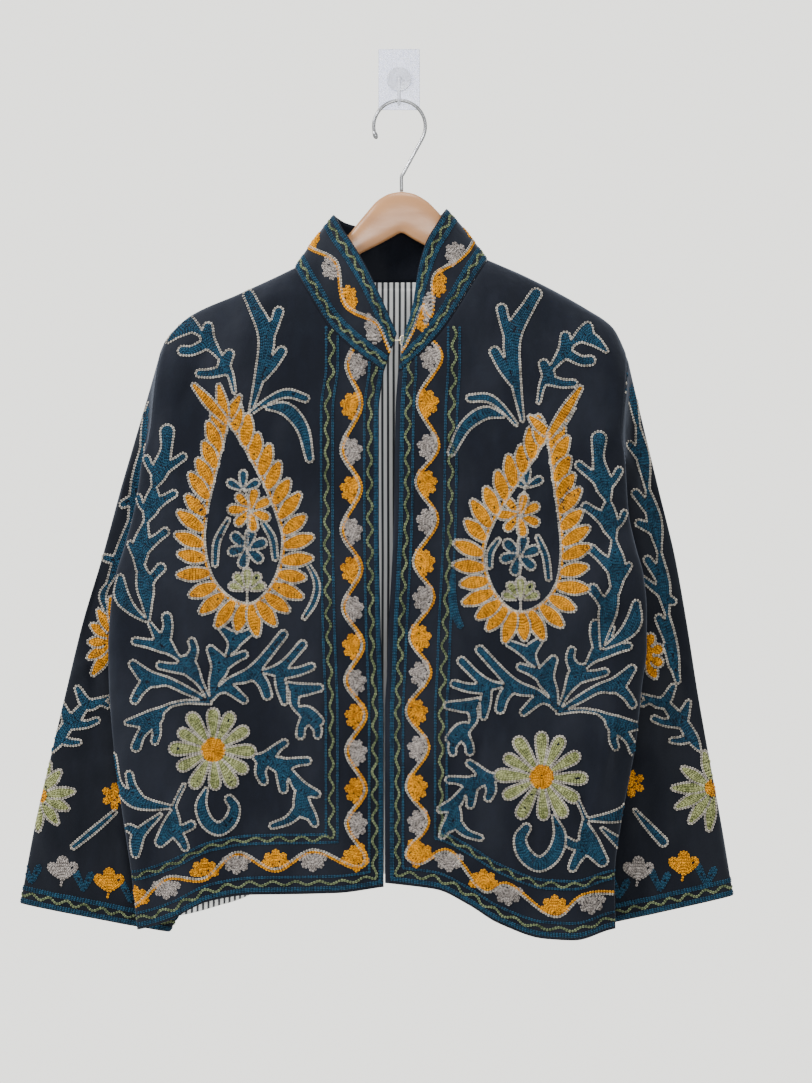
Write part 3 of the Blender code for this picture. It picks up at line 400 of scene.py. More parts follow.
@dataclass(frozen=True)
class CreaseShape:
    """How a crease bows, swells and runs out, as shares of its length and width."""

    bow: float = 0.05
    bow_turn: float = 1.6
    least_width: float = 0.75
    swell: float = 0.35
    swell_turn: float = 5.1
    start: tuple = (0.15, 0.35)  # how far before its end it begins, and how long it takes
    end: tuple = (0.15, 0.4)

    def lift(self, row: tuple, x: Array, z: Array) -> Array:
        """How far a soft uneven crease lifts the cloth: below 0 in a trough."""
        start_x, start_z, end_x, end_z, width, height = (value * MM for value in row)
        along_x, along_z = end_x - start_x, end_z - start_z
        length = math.hypot(along_x, along_z)
        t = ((x - start_x) * along_x + (z - start_z) * along_z) / length ** 2
        bow = self.bow * length * np.sin(math.pi * np.clip(t, 0, 1) * self.bow_turn)
        off = ((x - start_x) * along_z - (z - start_z) * along_x) / length - bow
        width = width * (self.least_width + self.swell * np.sin(self.swell_turn * t + row[4]))
        ends = smooth_step((t + self.start[0]) / self.start[1])
        ends *= smooth_step((1 + self.end[0] - t) / self.end[1])
        return height * np.exp(-(off / width) ** 2) * ends


CREASE = CreaseShape()


def creased(grid: Array, creases: tuple, outward: int) -> Array:
    """How far creases move a surface's points: towards the viewer or the wall."""
    moved = np.zeros_like(grid)
    for row in creases:
        moved[..., 1] += outward * CREASE.lift(row, grid[..., 0], grid[..., 2])
    return moved


def way_out(grid: Array, outward: int, closed: bool = False) -> Array:
    """Unit normals of a surface."""
    if closed:
        across = np.roll(grid, -1, axis=1) - np.roll(grid, 1, axis=1)
    else:
        across = np.gradient(grid, axis=1)
    upward = -np.gradient(grid, axis=0)
    normal = np.cross(across, upward) * outward
    return normal / np.maximum(np.linalg.norm(normal, axis=-1, keepdims=True), 1e-12)


@dataclass
class Cloth:
    """A wall of cloth as a grid of outer points, their normals and its thickness."""

    name: str
    grid: Array
    normals: Array
    thickness: float
    closed: bool = False
    plumb_column: int = 0

    def faces(self) -> tuple[list, list]:
        """The outer and inner faces, then the edge faces, and a material index for each."""
        rows, columns = self.grid.shape[:2]
        count = rows * columns
        faces = []
        for a, b, d, c in quads(rows, columns, self.closed):
            faces += [(a, b, d, c), (a + count, c + count, d + count, b + count)]
        looks = [0, 1] * (len(faces) // 2)
        rim = [(r * columns + c, r * columns + (c + 1) % columns)
               for r in (0, rows - 1) for c in range(columns if self.closed else columns - 1)]
        if not self.closed:
            rim += [(r * columns + c, (r + 1) * columns + c)
                    for c in (0, columns - 1) for r in range(rows - 1)]
        faces += [(a, b, b + count, a + count) for a, b in rim]
        return faces, looks + [0] * len(rim)

    def build(self, outside: Material, inside: Material) -> Thing:
        """Make the shell's object.

        Args:
            outside: finish of the outer face and the edges.
            inside: finish of the inner face.

        Returns:
            The shell, with lengths along the cloth in metres as its UV map.
        """
        inner = self.grid - self.normals * self.thickness
        points = np.concatenate([self.grid.reshape(-1, 3), inner.reshape(-1, 3)])
        faces, looks = self.faces()
        mesh = bpy.data.meshes.new(self.name)
        mesh.from_pydata(points.tolist(), [], faces)
        for material in (outside, inside):
            mesh.materials.append(material)
        mesh.polygons.foreach_set("material_index", looks)
        across = lengths_along(self.grid, 1)
        across -= across[:, self.plumb_column:self.plumb_column + 1]
        spots = np.tile(np.stack([across, -lengths_along(self.grid)], axis=-1).reshape(-1, 2), (2, 1))
        corners = np.empty(len(mesh.loops), np.int32)
        mesh.loops.foreach_get("vertex_index", corners)
        mesh.uv_layers.new(name="cloth").uv.foreach_set("vector", spots[corners].ravel())
        turn_faces_out(mesh)
        return finished(self.name, mesh)


def turn_faces_out(mesh: Mesh) -> None:
    """Make a closed mesh's faces point outwards, by the sign of its volume, and shade it smooth."""
    build = bmesh.new()
    build.from_mesh(mesh)
    bmesh.ops.recalc_face_normals(build, faces=build.faces)
    build.to_mesh(mesh)
    build.free()
    mesh.shade_smooth()


def finished(name: str, data: bpy.types.ID) -> Thing:
    """Link a mesh, lamp or camera as an object at the origin."""
    data.name = name
    piece = bpy.data.objects.new(name, data)
    bpy.context.scene.collection.objects.link(piece)
    return piece


def declare(piece: Thing, *nodes: str, slot: Optional[str] = None) -> Thing:
    """Let a piece ride on the part and stand for its solids."""
    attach(piece, BODY)
    if nodes:
        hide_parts(*nodes)
    LOG.info("%s: %d faces", piece.name, len(piece.data.polygons))
    return piece


Source = object  # a node socket to link from, or a plain value


def put(tree: Tree, kind: str, inputs: dict, **settings: object) -> Node:
    """Add a node to a tree."""
    node = tree.nodes.new(kind)
    for key, value in settings.items():
        setattr(node, key, value)
    for key, value in inputs.items():
        if isinstance(value, Socket):
            tree.links.new(value, node.inputs[key])
        else:
            node.inputs[key].default_value = value
    return node


def blend(tree: Tree, share: Source, low: Source, high: Source) -> Socket:
    """A colour between two, by a share."""
    node = put(tree, "ShaderNodeMix", {0: share, 6: low, 7: high}, data_type="RGBA")
    return node.outputs[2]


def maths(tree: Tree, operation: str, first: Source, second: Source = 0.0) -> Socket:
    """The result of a Math node."""
    return put(tree, "ShaderNodeMath", {0: first, 1: second}, operation=operation).outputs[0]


def spread(tree: Tree, value: Source, span: tuple, to: tuple = (0.0, 1.0)) -> Socket:
    """A value moved from one span to another, smoothly."""
    return put(tree, "ShaderNodeMapRange", {0: value, 1: span[0], 2: span[1], 3: to[0], 4: to[1]},
               interpolation_type="SMOOTHSTEP").outputs[0]


def speckle(tree: Tree, place: Source, scale: Source, detail: float = 3.0) -> Socket:
    """Soft noise from 0 to 1 at a place."""
    return put(tree, "ShaderNodeTexNoise", {"Vector": place, "Scale": scale, "Detail": detail}).outputs[0]


def new_group(name: str, kind: str, inputs: dict, outputs: dict) -> tuple:
    """Start a node group from the kinds and values of its sockets."""
    group = bpy.data.node_groups.new(name, kind)
    for label, (what, value) in inputs.items():
        socket = group.interface.new_socket(label, in_out="INPUT", socket_type=f"NodeSocket{what}")
        if value is not None:
            socket.default_value = value
    for label, what in outputs.items():
        group.interface.new_socket(label, in_out="OUTPUT", socket_type=f"NodeSocket{what}")
    return group, group.nodes.new("NodeGroupInput"), group.nodes.new("NodeGroupOutput")


def pile_group() -> Tree:
    """Velvet pile: patches where the nap is brushed up, and the grain of the pile."""
    group, given, made = new_group(
        "velvet_pile", "ShaderNodeTree",
        {"Place": ("Vector", None), "Dark": ("Color", (0, 0, 0, 1)),
         "Brushed": ("Color", (0.1, 0.1, 0.1, 1)), "Patch scale": ("Float", 14.0),
         "Pile scale": ("Float", 900.0), "Brushing": ("Float", 0.5), "Rumple scale": ("Float", 24.0)},
        {"Color": "Color", "Roughness": "Float", "Height": "Float"})
    place, patches = given.outputs["Place"], given.outputs["Patch scale"]
    stretched = put(group, "ShaderNodeMapping", {"Vector": place, "Scale": (1.0, 1.0, 0.45)}).outputs[0]
    patch = spread(group, speckle(group, stretched, patches, 4.0), (0.36, 0.68))
    streak = spread(group, speckle(group, stretched, maths(group, "MULTIPLY", patches, 7.0)), (0.4, 0.75))
    grain = speckle(group, place, given.outputs["Pile scale"], 2.0)
    share = maths(group, "MULTIPLY", patch, given.outputs["Brushing"])
    share = maths(group, "ADD", share, maths(group, "MULTIPLY", streak, 0.16))
    share = maths(group, "ADD", share, maths(group, "MULTIPLY", maths(group, "SUBTRACT", grain, 0.5), 0.5))
    clean = put(group, "ShaderNodeClamp", {0: share}).outputs[0]
    rumple = speckle(group, place, given.outputs["Rumple scale"], 3.0)
    soft = maths(group, "ADD", maths(group, "MULTIPLY", grain, 0.35), maths(group, "MULTIPLY", streak, 0.3))
    for label, socket in (
            ("Color", blend(group, clean, given.outputs["Dark"], given.outputs["Brushed"])),
            ("Roughness", spread(group, patch, (0, 1), (0.93, 0.74))),
            ("Height", maths(group, "ADD", soft, maths(group, "MULTIPLY", rumple, 11.0)))):
        group.links.new(socket, made.inputs[label])
    return group


def fibre_group() -> Tree:
    """Spun fibre: darker and lighter lengths of yarn, and a fine twist."""
    group, given, made = new_group(
        "spun_fibre", "ShaderNodeTree",
        {"Place": ("Vector", None), "Shade": ("Color", (0, 0, 0, 1)), "Bright": ("Color", (1, 1, 1, 1)),
         "Yarn scale": ("Float", 260.0)},
        {"Color": "Color", "Height": "Float"})
    place, scale = given.outputs["Place"], given.outputs["Yarn scale"]
    wide = spread(group, speckle(group, place, maths(group, "MULTIPLY", scale, 0.12), 2.0), (0.3, 0.7))
    fine = spread(group, speckle(group, place, scale, 2.0), (0.34, 0.62))
    share = maths(group, "ADD", maths(group, "MULTIPLY", wide, 0.35), maths(group, "MULTIPLY", fine, 0.65))
    colour = blend(group, share, given.outputs["Shade"], given.outputs["Bright"])
    twist = speckle(group, place, maths(group, "MULTIPLY", scale, 8.0), 1.0)
    group.links.new(colour, made.inputs["Color"])
    group.links.new(twist, made.inputs["Height"])
    return group


class Coordinates(Enum):
    """Where a finish reads its pattern."""

    OBJECT = "Object"
    ALONG_CLOTH = "UV"


@dataclass
class MaterialShop:
    """Makes materials, and keeps the shader groups that they share."""

    pile: Tree = field(default_factory=pile_group)
    fibre: Tree = field(default_factory=fibre_group)

    @staticmethod
    def start(name: str, where: Coordinates, **shader: object) -> tuple[Material, Tree, Socket]:
        """Start a material: it, its tree and the place that its pattern reads."""
        material = bpy.data.materials.new(name)
        material.use_nodes = True
        tree = material.node_tree
        for key, value in shader.items():
            tree.nodes["Principled BSDF"].inputs[key.replace("_", " ")].default_value = value
        return material, tree, tree.nodes.new("ShaderNodeTexCoord").outputs[where.value]

    @staticmethod
    def end(material: Material, height: Socket, strength: float, distance: float,
            **links: Socket) -> Material:
        """Give a material a bump from a height, and link its shader's other inputs."""
        tree = material.node_tree
        bump = put(tree, "ShaderNodeBump", {"Height": height, "Strength": strength, "Distance": distance})
        for key, socket in (*links.items(), ("Normal", bump.outputs[0])):
            tree.links.new(socket, tree.nodes["Principled BSDF"].inputs[key.replace("_", " ")])
        return material


@dataclass(frozen=True)
class Velvet:
    """Blue-black cotton velvet with a short nap."""

    name: str
    dark: tuple
    # The brushed colour is the nap's paler patches, set per piece with painted sheen on the body and painted
    # shade on the sleeves.
    brushed: tuple
    brushing: float
    patch_scale: float = 15.0

    def material(self, shop: MaterialShop) -> Material:
        """The finish as a material."""
        material, tree, place = shop.start(
            self.name, Coordinates.OBJECT, Sheen_Weight=0.35, Sheen_Roughness=0.45,
            Sheen_Tint=(0.35, 0.4, 0.52, 1), Specular_IOR_Level=0.15)
        pile = put(tree, "ShaderNodeGroup", {
            "Place": place, "Dark": (*self.dark, 1), "Brushed": (*self.brushed, 1),
            "Patch scale": self.patch_scale, "Brushing": self.brushing}, node_tree=shop.pile).outputs
        return shop.end(material, pile["Height"], 0.5, 0.6 * MM,
                        Base_Color=pile["Color"], Roughness=pile["Roughness"])


@dataclass(frozen=True)
class StripedCotton:
    """Off-white cotton with narrow black stripes along the cloth."""

    name: str = "striped_cotton"
    light: tuple = (0.84, 0.85, 0.86)
    stripe: tuple = (0.012, 0.014, 0.02)
    repeat: float = 5.8 * MM
    stripe_share: float = 0.42
    stripe_edge: float = 0.05
    weave: float = 330.0

    def material(self, shop: MaterialShop) -> Material:
        """The finish as a material."""
        material, tree, place = shop.start(
            self.name, Coordinates.ALONG_CLOTH, Roughness=0.88, Sheen_Weight=0.15, Specular_IOR_Level=0.2)
        across = put(tree, "ShaderNodeSeparateXYZ", {0: place}).outputs[0]
        turn = maths(tree, "FRACT", maths(tree, "DIVIDE", across, self.repeat))
        off = maths(tree, "ABSOLUTE", maths(tree, "SUBTRACT", turn, 0.5))
        half = self.stripe_share / 2
        ink = spread(tree, off, (half - self.stripe_edge, half + self.stripe_edge), (1.0, 0.0))
        warp, weft = (
            put(tree, "ShaderNodeTexWave", {"Vector": place, "Scale": self.weave, "Distortion": 0.6},
                bands_direction=axis).outputs[1] for axis in "XY")
        weave = maths(tree, "MULTIPLY", maths(tree, "ADD", warp, weft), 0.5)
        soiled = maths(tree, "MULTIPLY", speckle(tree, place, 30.0), 0.3)
        pale = blend(tree, soiled, (*self.light, 1), (0.68, 0.68, 0.68, 1))
        colour = blend(tree, ink, pale, (*self.stripe, 1))
        shaded = blend(tree, maths(tree, "MULTIPLY", weave, 0.25), colour, (0.2, 0.2, 0.22, 1))
        return shop.end(material, weave, 0.3, 0.3 * MM, Base_Color=shaded)


class ThreadColour(Enum):
    """Colours of the embroidery thread, as shade and bright side."""

    TEAL = ((0.005, 0.023, 0.045), (0.0175, 0.068, 0.122))
    BEIGE = ((0.2, 0.18, 0.155), (0.53, 0.49, 0.435))
    ORANGE = ((0.34, 0.125, 0.0), (0.78, 0.335, 0.0))
    SAGE = ((0.14, 0.16, 0.05), (0.4, 0.42, 0.2))
    MOSS = ((0.05, 0.07, 0.03), (0.22, 0.26, 0.14))
    GREY = ((0.17, 0.15, 0.14), (0.4, 0.36, 0.34))


TEAL, BEIGE, ORANGE, SAGE, MOSS, GREY = ThreadColour


@dataclass(frozen=True)
class Thread:
    """Twisted cotton thread of one colour."""

    colour: ThreadColour

    def material(self, shop: MaterialShop) -> Material:
        """The finish as a material."""
        material, tree, place = shop.start(
            f"thread_{self.colour.name.lower()}", Coordinates.OBJECT, Roughness=0.8, Specular_IOR_Level=0.15)
        shade, bright = self.colour.value
        fibre = put(tree, "ShaderNodeGroup", {"Place": place, "Shade": (*shade, 1), "Bright": (*bright, 1)},
                    node_tree=shop.fibre).outputs
        return shop.end(material, fibre["Height"], 0.3, 0.2 * MM, Base_Color=fibre["Color"])


@dataclass(frozen=True)
class SatinTan:
    """Smooth tan hanger with faint clouds."""

    name: str = "satin_tan"
    colour: tuple = (0.37, 0.178, 0.072)
    deep: tuple = (0.3, 0.135, 0.05)

    def material(self, shop: MaterialShop) -> Material:
        """The finish as a material."""
        material, tree, place = shop.start(
            self.name, Coordinates.OBJECT, Coat_Weight=0.25, Coat_Roughness=0.2)
        long_way = put(tree, "ShaderNodeMapping", {"Vector": place, "Scale": (0.25, 1.0, 1.0)}).outputs[0]
        cloud = spread(tree, speckle(tree, long_way, 60.0, 5.0), (0.35, 0.7))
        return shop.end(material, speckle(tree, place, 700.0), 0.04, 0.2 * MM,
                        Base_Color=blend(tree, cloud, (*self.colour, 1), (*self.deep, 1)),
                        Roughness=spread(tree, cloud, (0, 1), (0.3, 0.42)))


@dataclass(frozen=True)
class PlatedWire:
    """Bright plated wire with fine drawing marks."""

    name: str
    colour: tuple
    roughness: float

    def material(self, shop: MaterialShop) -> Material:
        """The finish as a material."""
        material, tree, place = shop.start(self.name, Coordinates.OBJECT, Metallic=1.0)
        worn = spread(tree, speckle(tree, place, 180.0, 4.0), (0.4, 0.7))
        dull = tuple(value * 0.72 for value in self.colour)
        return shop.end(material, speckle(tree, place, 1500.0), 0.05, 0.1 * MM,
                        Base_Color=blend(tree, worn, (*self.colour, 1), (*dull, 1)),
                        Roughness=spread(tree, worn, (0, 1), (self.roughness, self.roughness + 0.15)))


@dataclass(frozen=True)
class ClearPlastic:
    """Clear bluish plastic with a frosted sparkle."""

    name: str
    colour: tuple = (0.48, 0.51, 0.7)
    frost: float = 0.5

    def material(self, shop: MaterialShop) -> Material:
        """The finish as a material."""
        material, tree, place = shop.start(
            self.name, Coordinates.OBJECT, Transmission_Weight=0.55, IOR=1.46, Coat_Weight=0.3)
        fleck = put(tree, "ShaderNodeTexVoronoi", {"Vector": place, "Scale": 420.0}).outputs[0]
        return shop.end(material, fleck, 0.15 * self.frost, 0.4 * MM,
                        Base_Color=blend(tree, fleck, (*self.colour, 1), (0.86, 0.88, 0.97, 1)),
                        Roughness=spread(tree, fleck, (0.1, 0.6), (0.12, 0.12 + self.frost)))


@dataclass(frozen=True)
class Mesh2D:
    """How many steps a fine surface takes across and down."""

    across: int
    down: int


SEAM_SINK = 0.9 * MM
SEAM_WIDTH = 3.5 * MM
CAP_KNOTS = (0, 1, 2, 3, 4)
CAP_ALONG = Track(CAP_KNOTS, (0, 0.12, 0.35, 0.65, 1))
CAP_BACK = Track(CAP_KNOTS, (0, 0.5, 0.85, 0.97, 1))
CAP_SHARES = Track(range(11), (0, .012, .024, .036, .048, .06, .2, .4, .62, .83, 1))
CAP_STEPS = 4
SLEEVE_STEPS = 12
COLLAR_END = 28
LINING_INSET = 3
LINING_TOP_ROW = 1


def sink_seams(grid: Array, normals: Array, sides: tuple) -> Array:
    """Draw a surface in along its sewn edges."""
    gap = np.full(grid.shape[:2], np.inf)
    across = lengths_along(grid, 1)
    for side, distance in (("top", lengths_along(grid)), ("first", across),
                           ("last", across[:, -1:] - across)):
        if side in sides:
            gap = np.minimum(gap, distance)
    return grid - normals * (SEAM_SINK * np.exp(-(gap / SEAM_WIDTH) ** 2))[..., None]


def crest_normals(edge: Array) -> Array:
    """Normals straight up from a ridge line, square to it."""
    along = np.gradient(edge, axis=0)
    up = np.cross(along, (0.0, 1.0, 0.0))
    up *= np.sign(up[:, 2:3])
    return up / np.linalg.norm(up, axis=1, keepdims=True)


class SleeveShape:
    """The surface of a sleeve, from its armhole ring down to the cuff."""

    def __init__(self, body: BodyHalf) -> None:
        """Fit the tracks of one sleeve."""
        self.body = body
        rows = body.pattern.sleeve
        self.tracks = [Track.of(rows, None, key) for key in range(6)]
        self.stations = len(rows) - 1

    def section(self, station: Array, turn: Array, crowding: Array) -> Array:
        """Points of the flattened rings."""
        half = CUT.upper_rows
        share = (1 - np.cos(math.pi * turn / half)) / 2
        share = share + np.where(turn <= half, CAP_SHARES.at(turn) - share, 0) * crowding[:, None]
        thick = (1 - np.abs(1 - 2 * share) ** CUT.sleeve_rounding) ** (1 / CUT.sleeve_rounding)
        outer_x, outer_z, inner_x, inner_z, depth, half_depth = (
            track.at(station)[:, None] for track in self.tracks)
        return np.stack([
            outer_x + (inner_x - outer_x) * share,
            depth - np.where(turn < half, 1, -1) * half_depth * thick,
            outer_z + (inner_z - outer_z) * share], axis=-1)

    def armhole(self, turn: Array) -> Array:
        """Points of the armhole seam: down the front's edge and up the back's."""
        half = CUT.upper_rows
        front = self.body.front_grid(np.array([CUT.front_columns]), np.minimum(turn, half))[:, 0]
        back = self.body.back_grid(np.array([CUT.back_half]), np.clip(2 * half - turn, 0, half))[:, 0]
        return np.where((turn <= half)[:, None], front, back)

    def grid(self, size: Mesh2D) -> Array:
        """The sleeve's outer surface, by rings from the armhole to the cuff."""
        turn = np.arange(size.across) * (2 * CUT.upper_rows / size.across)
        steps = np.linspace(0, CAP_STEPS + SLEEVE_STEPS, size.down + 1)
        ring, first = self.armhole(turn), self.section(np.zeros(1), turn, np.ones(1))[0]
        cap = steps[steps < CAP_STEPS]
        upper = ring + (first - ring) * CAP_ALONG.at(cap)[:, None, None]
        upper[..., 1] = ring[:, 1] + (first - ring)[:, 1] * CAP_BACK.at(cap)[:, None]
        down = (steps[steps >= CAP_STEPS] - CAP_STEPS) / SLEEVE_STEPS
        lower = self.section(down * self.stations, turn, 1 - smooth_step(down))
        return np.concatenate([upper, lower])


def collar_grid(right: BodyHalf, left: BodyHalf, size: Mesh2D) -> Array:
    """The collar's outer surface, from the right front end round the neck to the left one.

    Args:
        right: the right half, whose neckline and collar tracks it follows.
        left: the left half.
        size: steps along and up the collar.

    Returns:
        Points by row, from the top edge to the base, and column.
    """
    places = np.linspace(0, COLLAR_END, size.across + 1)
    quarter, top_row = CUT.neck_columns, np.zeros(1)
    bases, tops = np.empty((len(places), 3)), np.empty((len(places), 3))
    for body, from_end in ((right, places), (left, COLLAR_END - places)):
        front, back = from_end <= quarter, (from_end > quarter) & (from_end <= 2 * quarter)
        for chosen, grid, table, index in (
                (front, body.front_grid, body.pattern.collar_front, from_end),
                (back, body.back_grid, body.pattern.collar_back, 2 * quarter - from_end)):
            spots = index[chosen]
            bases[chosen] = grid(spots, top_row)[0]
            for axis in range(3):
                line = Track([row[0] for row in table], [row[axis + 1] * MM for row in table])
                tops[chosen, axis] = line.at(spots / quarter)
    share = np.linspace(0, 1, size.down + 1)[:, None, None]
    belly = 1.2 * MM * np.sin(math.pi * share[..., 0])
    grid = tops + (bases - tops) * share
    return grid + way_out(grid, -1) * belly[..., None]


@dataclass(frozen=True)
class BodyCreases:
    """Creases of the body's cloth, listed in millimetres on the wall."""

    front_right: tuple = (
        (-120, -215, -170, -300, 15, 3.3), (-150, -225, -225, -330, 13, -3.6),
        (-205, -262, -150, -380, 20, 3.0), (-95, -300, -78, -430, 14, -2.7),
        (-236, -360, -205, -470, 17, 4.5), (-215, -380, -150, -520, 15, -3.3),
        (-265, -470, -190, -560, 15, 4.5), (-276, -520, -180, -640, 18, -4.5),
        (-200, -575, -120, -640, 22, 3.3), (-282, -600, -215, -700, 20, 3.9),
        (-80, -560, -60, -760, 14, 3.0), (-125, -640, -118, -818, 17, -3.9),
        (-165, -690, -175, -825, 15, 3.9), (-225, -700, -238, -845, 17, -4.2),
        (-258, -640, -268, -830, 12, 3.6), (-30, -380, -34, -600, 9, 2.1),
    )
    front_left: tuple = (
        (95, -205, 140, -300, 14, 3.3), (130, -218, 200, -320, 14, -3.6),
        (180, -262, 130, -370, 19, 3.0), (62, -300, 52, -430, 13, -2.7),
        (210, -350, 182, -460, 16, 4.5), (196, -380, 130, -520, 15, -3.3),
        (232, -470, 165, -570, 15, 4.5), (238, -530, 150, -650, 18, -4.5),
        (170, -580, 95, -650, 21, 3.3), (238, -610, 186, -715, 19, 3.9),
        (50, -560, 38, -760, 13, 3.0), (90, -640, 80, -835, 16, -3.9),
        (130, -690, 136, -850, 15, 3.9), (186, -700, 196, -855, 16, -4.2),
        (215, -640, 212, -840, 11, 3.3), (14, -400, 8, -620, 9, 2.0),
    )
    back: tuple = (
        (-120, -215, -60, -300, 20, 3.6), (110, -215, 45, -310, 20, 3.6),
        (-190, -300, -90, -470, 22, -3.6), (180, -300, 70, -460, 22, -3.6),
        (-10, -260, -22, -520, 24, 3.0), (-140, -470, -40, -600, 24, 4.2),
        (130, -470, 30, -590, 24, 4.2), (-110, -580, -130, -820, 18, -4.5),
        (-40, -600, -48, -800, 20, 4.2), (70, -600, 82, -820, 19, -4.5),
        (150, -560, 160, -830, 16, 3.9), (-190, -560, -200, -830, 14, 3.6),
    )


@dataclass(frozen=True)
class SleeveCreases:
    """Creases of a sleeve's two sides, listed in millimetres on the wall."""

    front: tuple
    back: tuple


RIGHT_SLEEVE_CREASES = SleeveCreases(
    front=(
        (-258, -330, -285, -470, 9, -2.7), (-272, -380, -262, -540, 11, 3.6),
        (-296, -500, -318, -640, 13, -3.9), (-330, -600, -262, -560, 11, 4.5),
        (-345, -655, -250, -640, 13, -4.2), (-330, -700, -262, -690, 12, 3.6),
        (-300, -640, -330, -820, 12, -3.0), (-355, -690, -352, -830, 11, 3.3),
        (-262, -680, -284, -850, 14, 3.6), (-240, -760, -262, -860, 9, -2.4),
    ),
    back=(
        (-235, -380, -270, -520, 15, -3.9), (-190, -500, -290, -560, 14, 4.2),
        (-180, -580, -320, -610, 15, -4.2), (-200, -650, -330, -660, 14, 3.9),
        (-230, -660, -280, -850, 14, -3.6), (-320, -690, -345, -820, 12, 3.3),
    ),
)
LEFT_SLEEVE_CREASES = SleeveCreases(
    front=(
        (236, -320, 252, -460, 9, -2.7), (248, -380, 236, -540, 11, 3.6),
        (266, -490, 282, -630, 12, -3.9), (294, -600, 232, -565, 11, 4.5),
        (304, -650, 222, -640, 13, -4.2), (296, -695, 232, -690, 12, 3.6),
        (270, -640, 292, -800, 12, -3.0), (318, -690, 322, -815, 11, 3.3),
        (236, -690, 248, -840, 13, 3.6), (214, -760, 222, -850, 9, -2.4),
    ),
    back=(
        (215, -380, 240, -510, 15, -3.9), (165, -500, 262, -560, 14, 4.2),
        (155, -580, 280, -610, 15, -4.2), (165, -650, 292, -655, 14, 3.9),
        (195, -660, 232, -840, 14, -3.6), (285, -690, 302, -810, 12, 3.3),
    ),
)


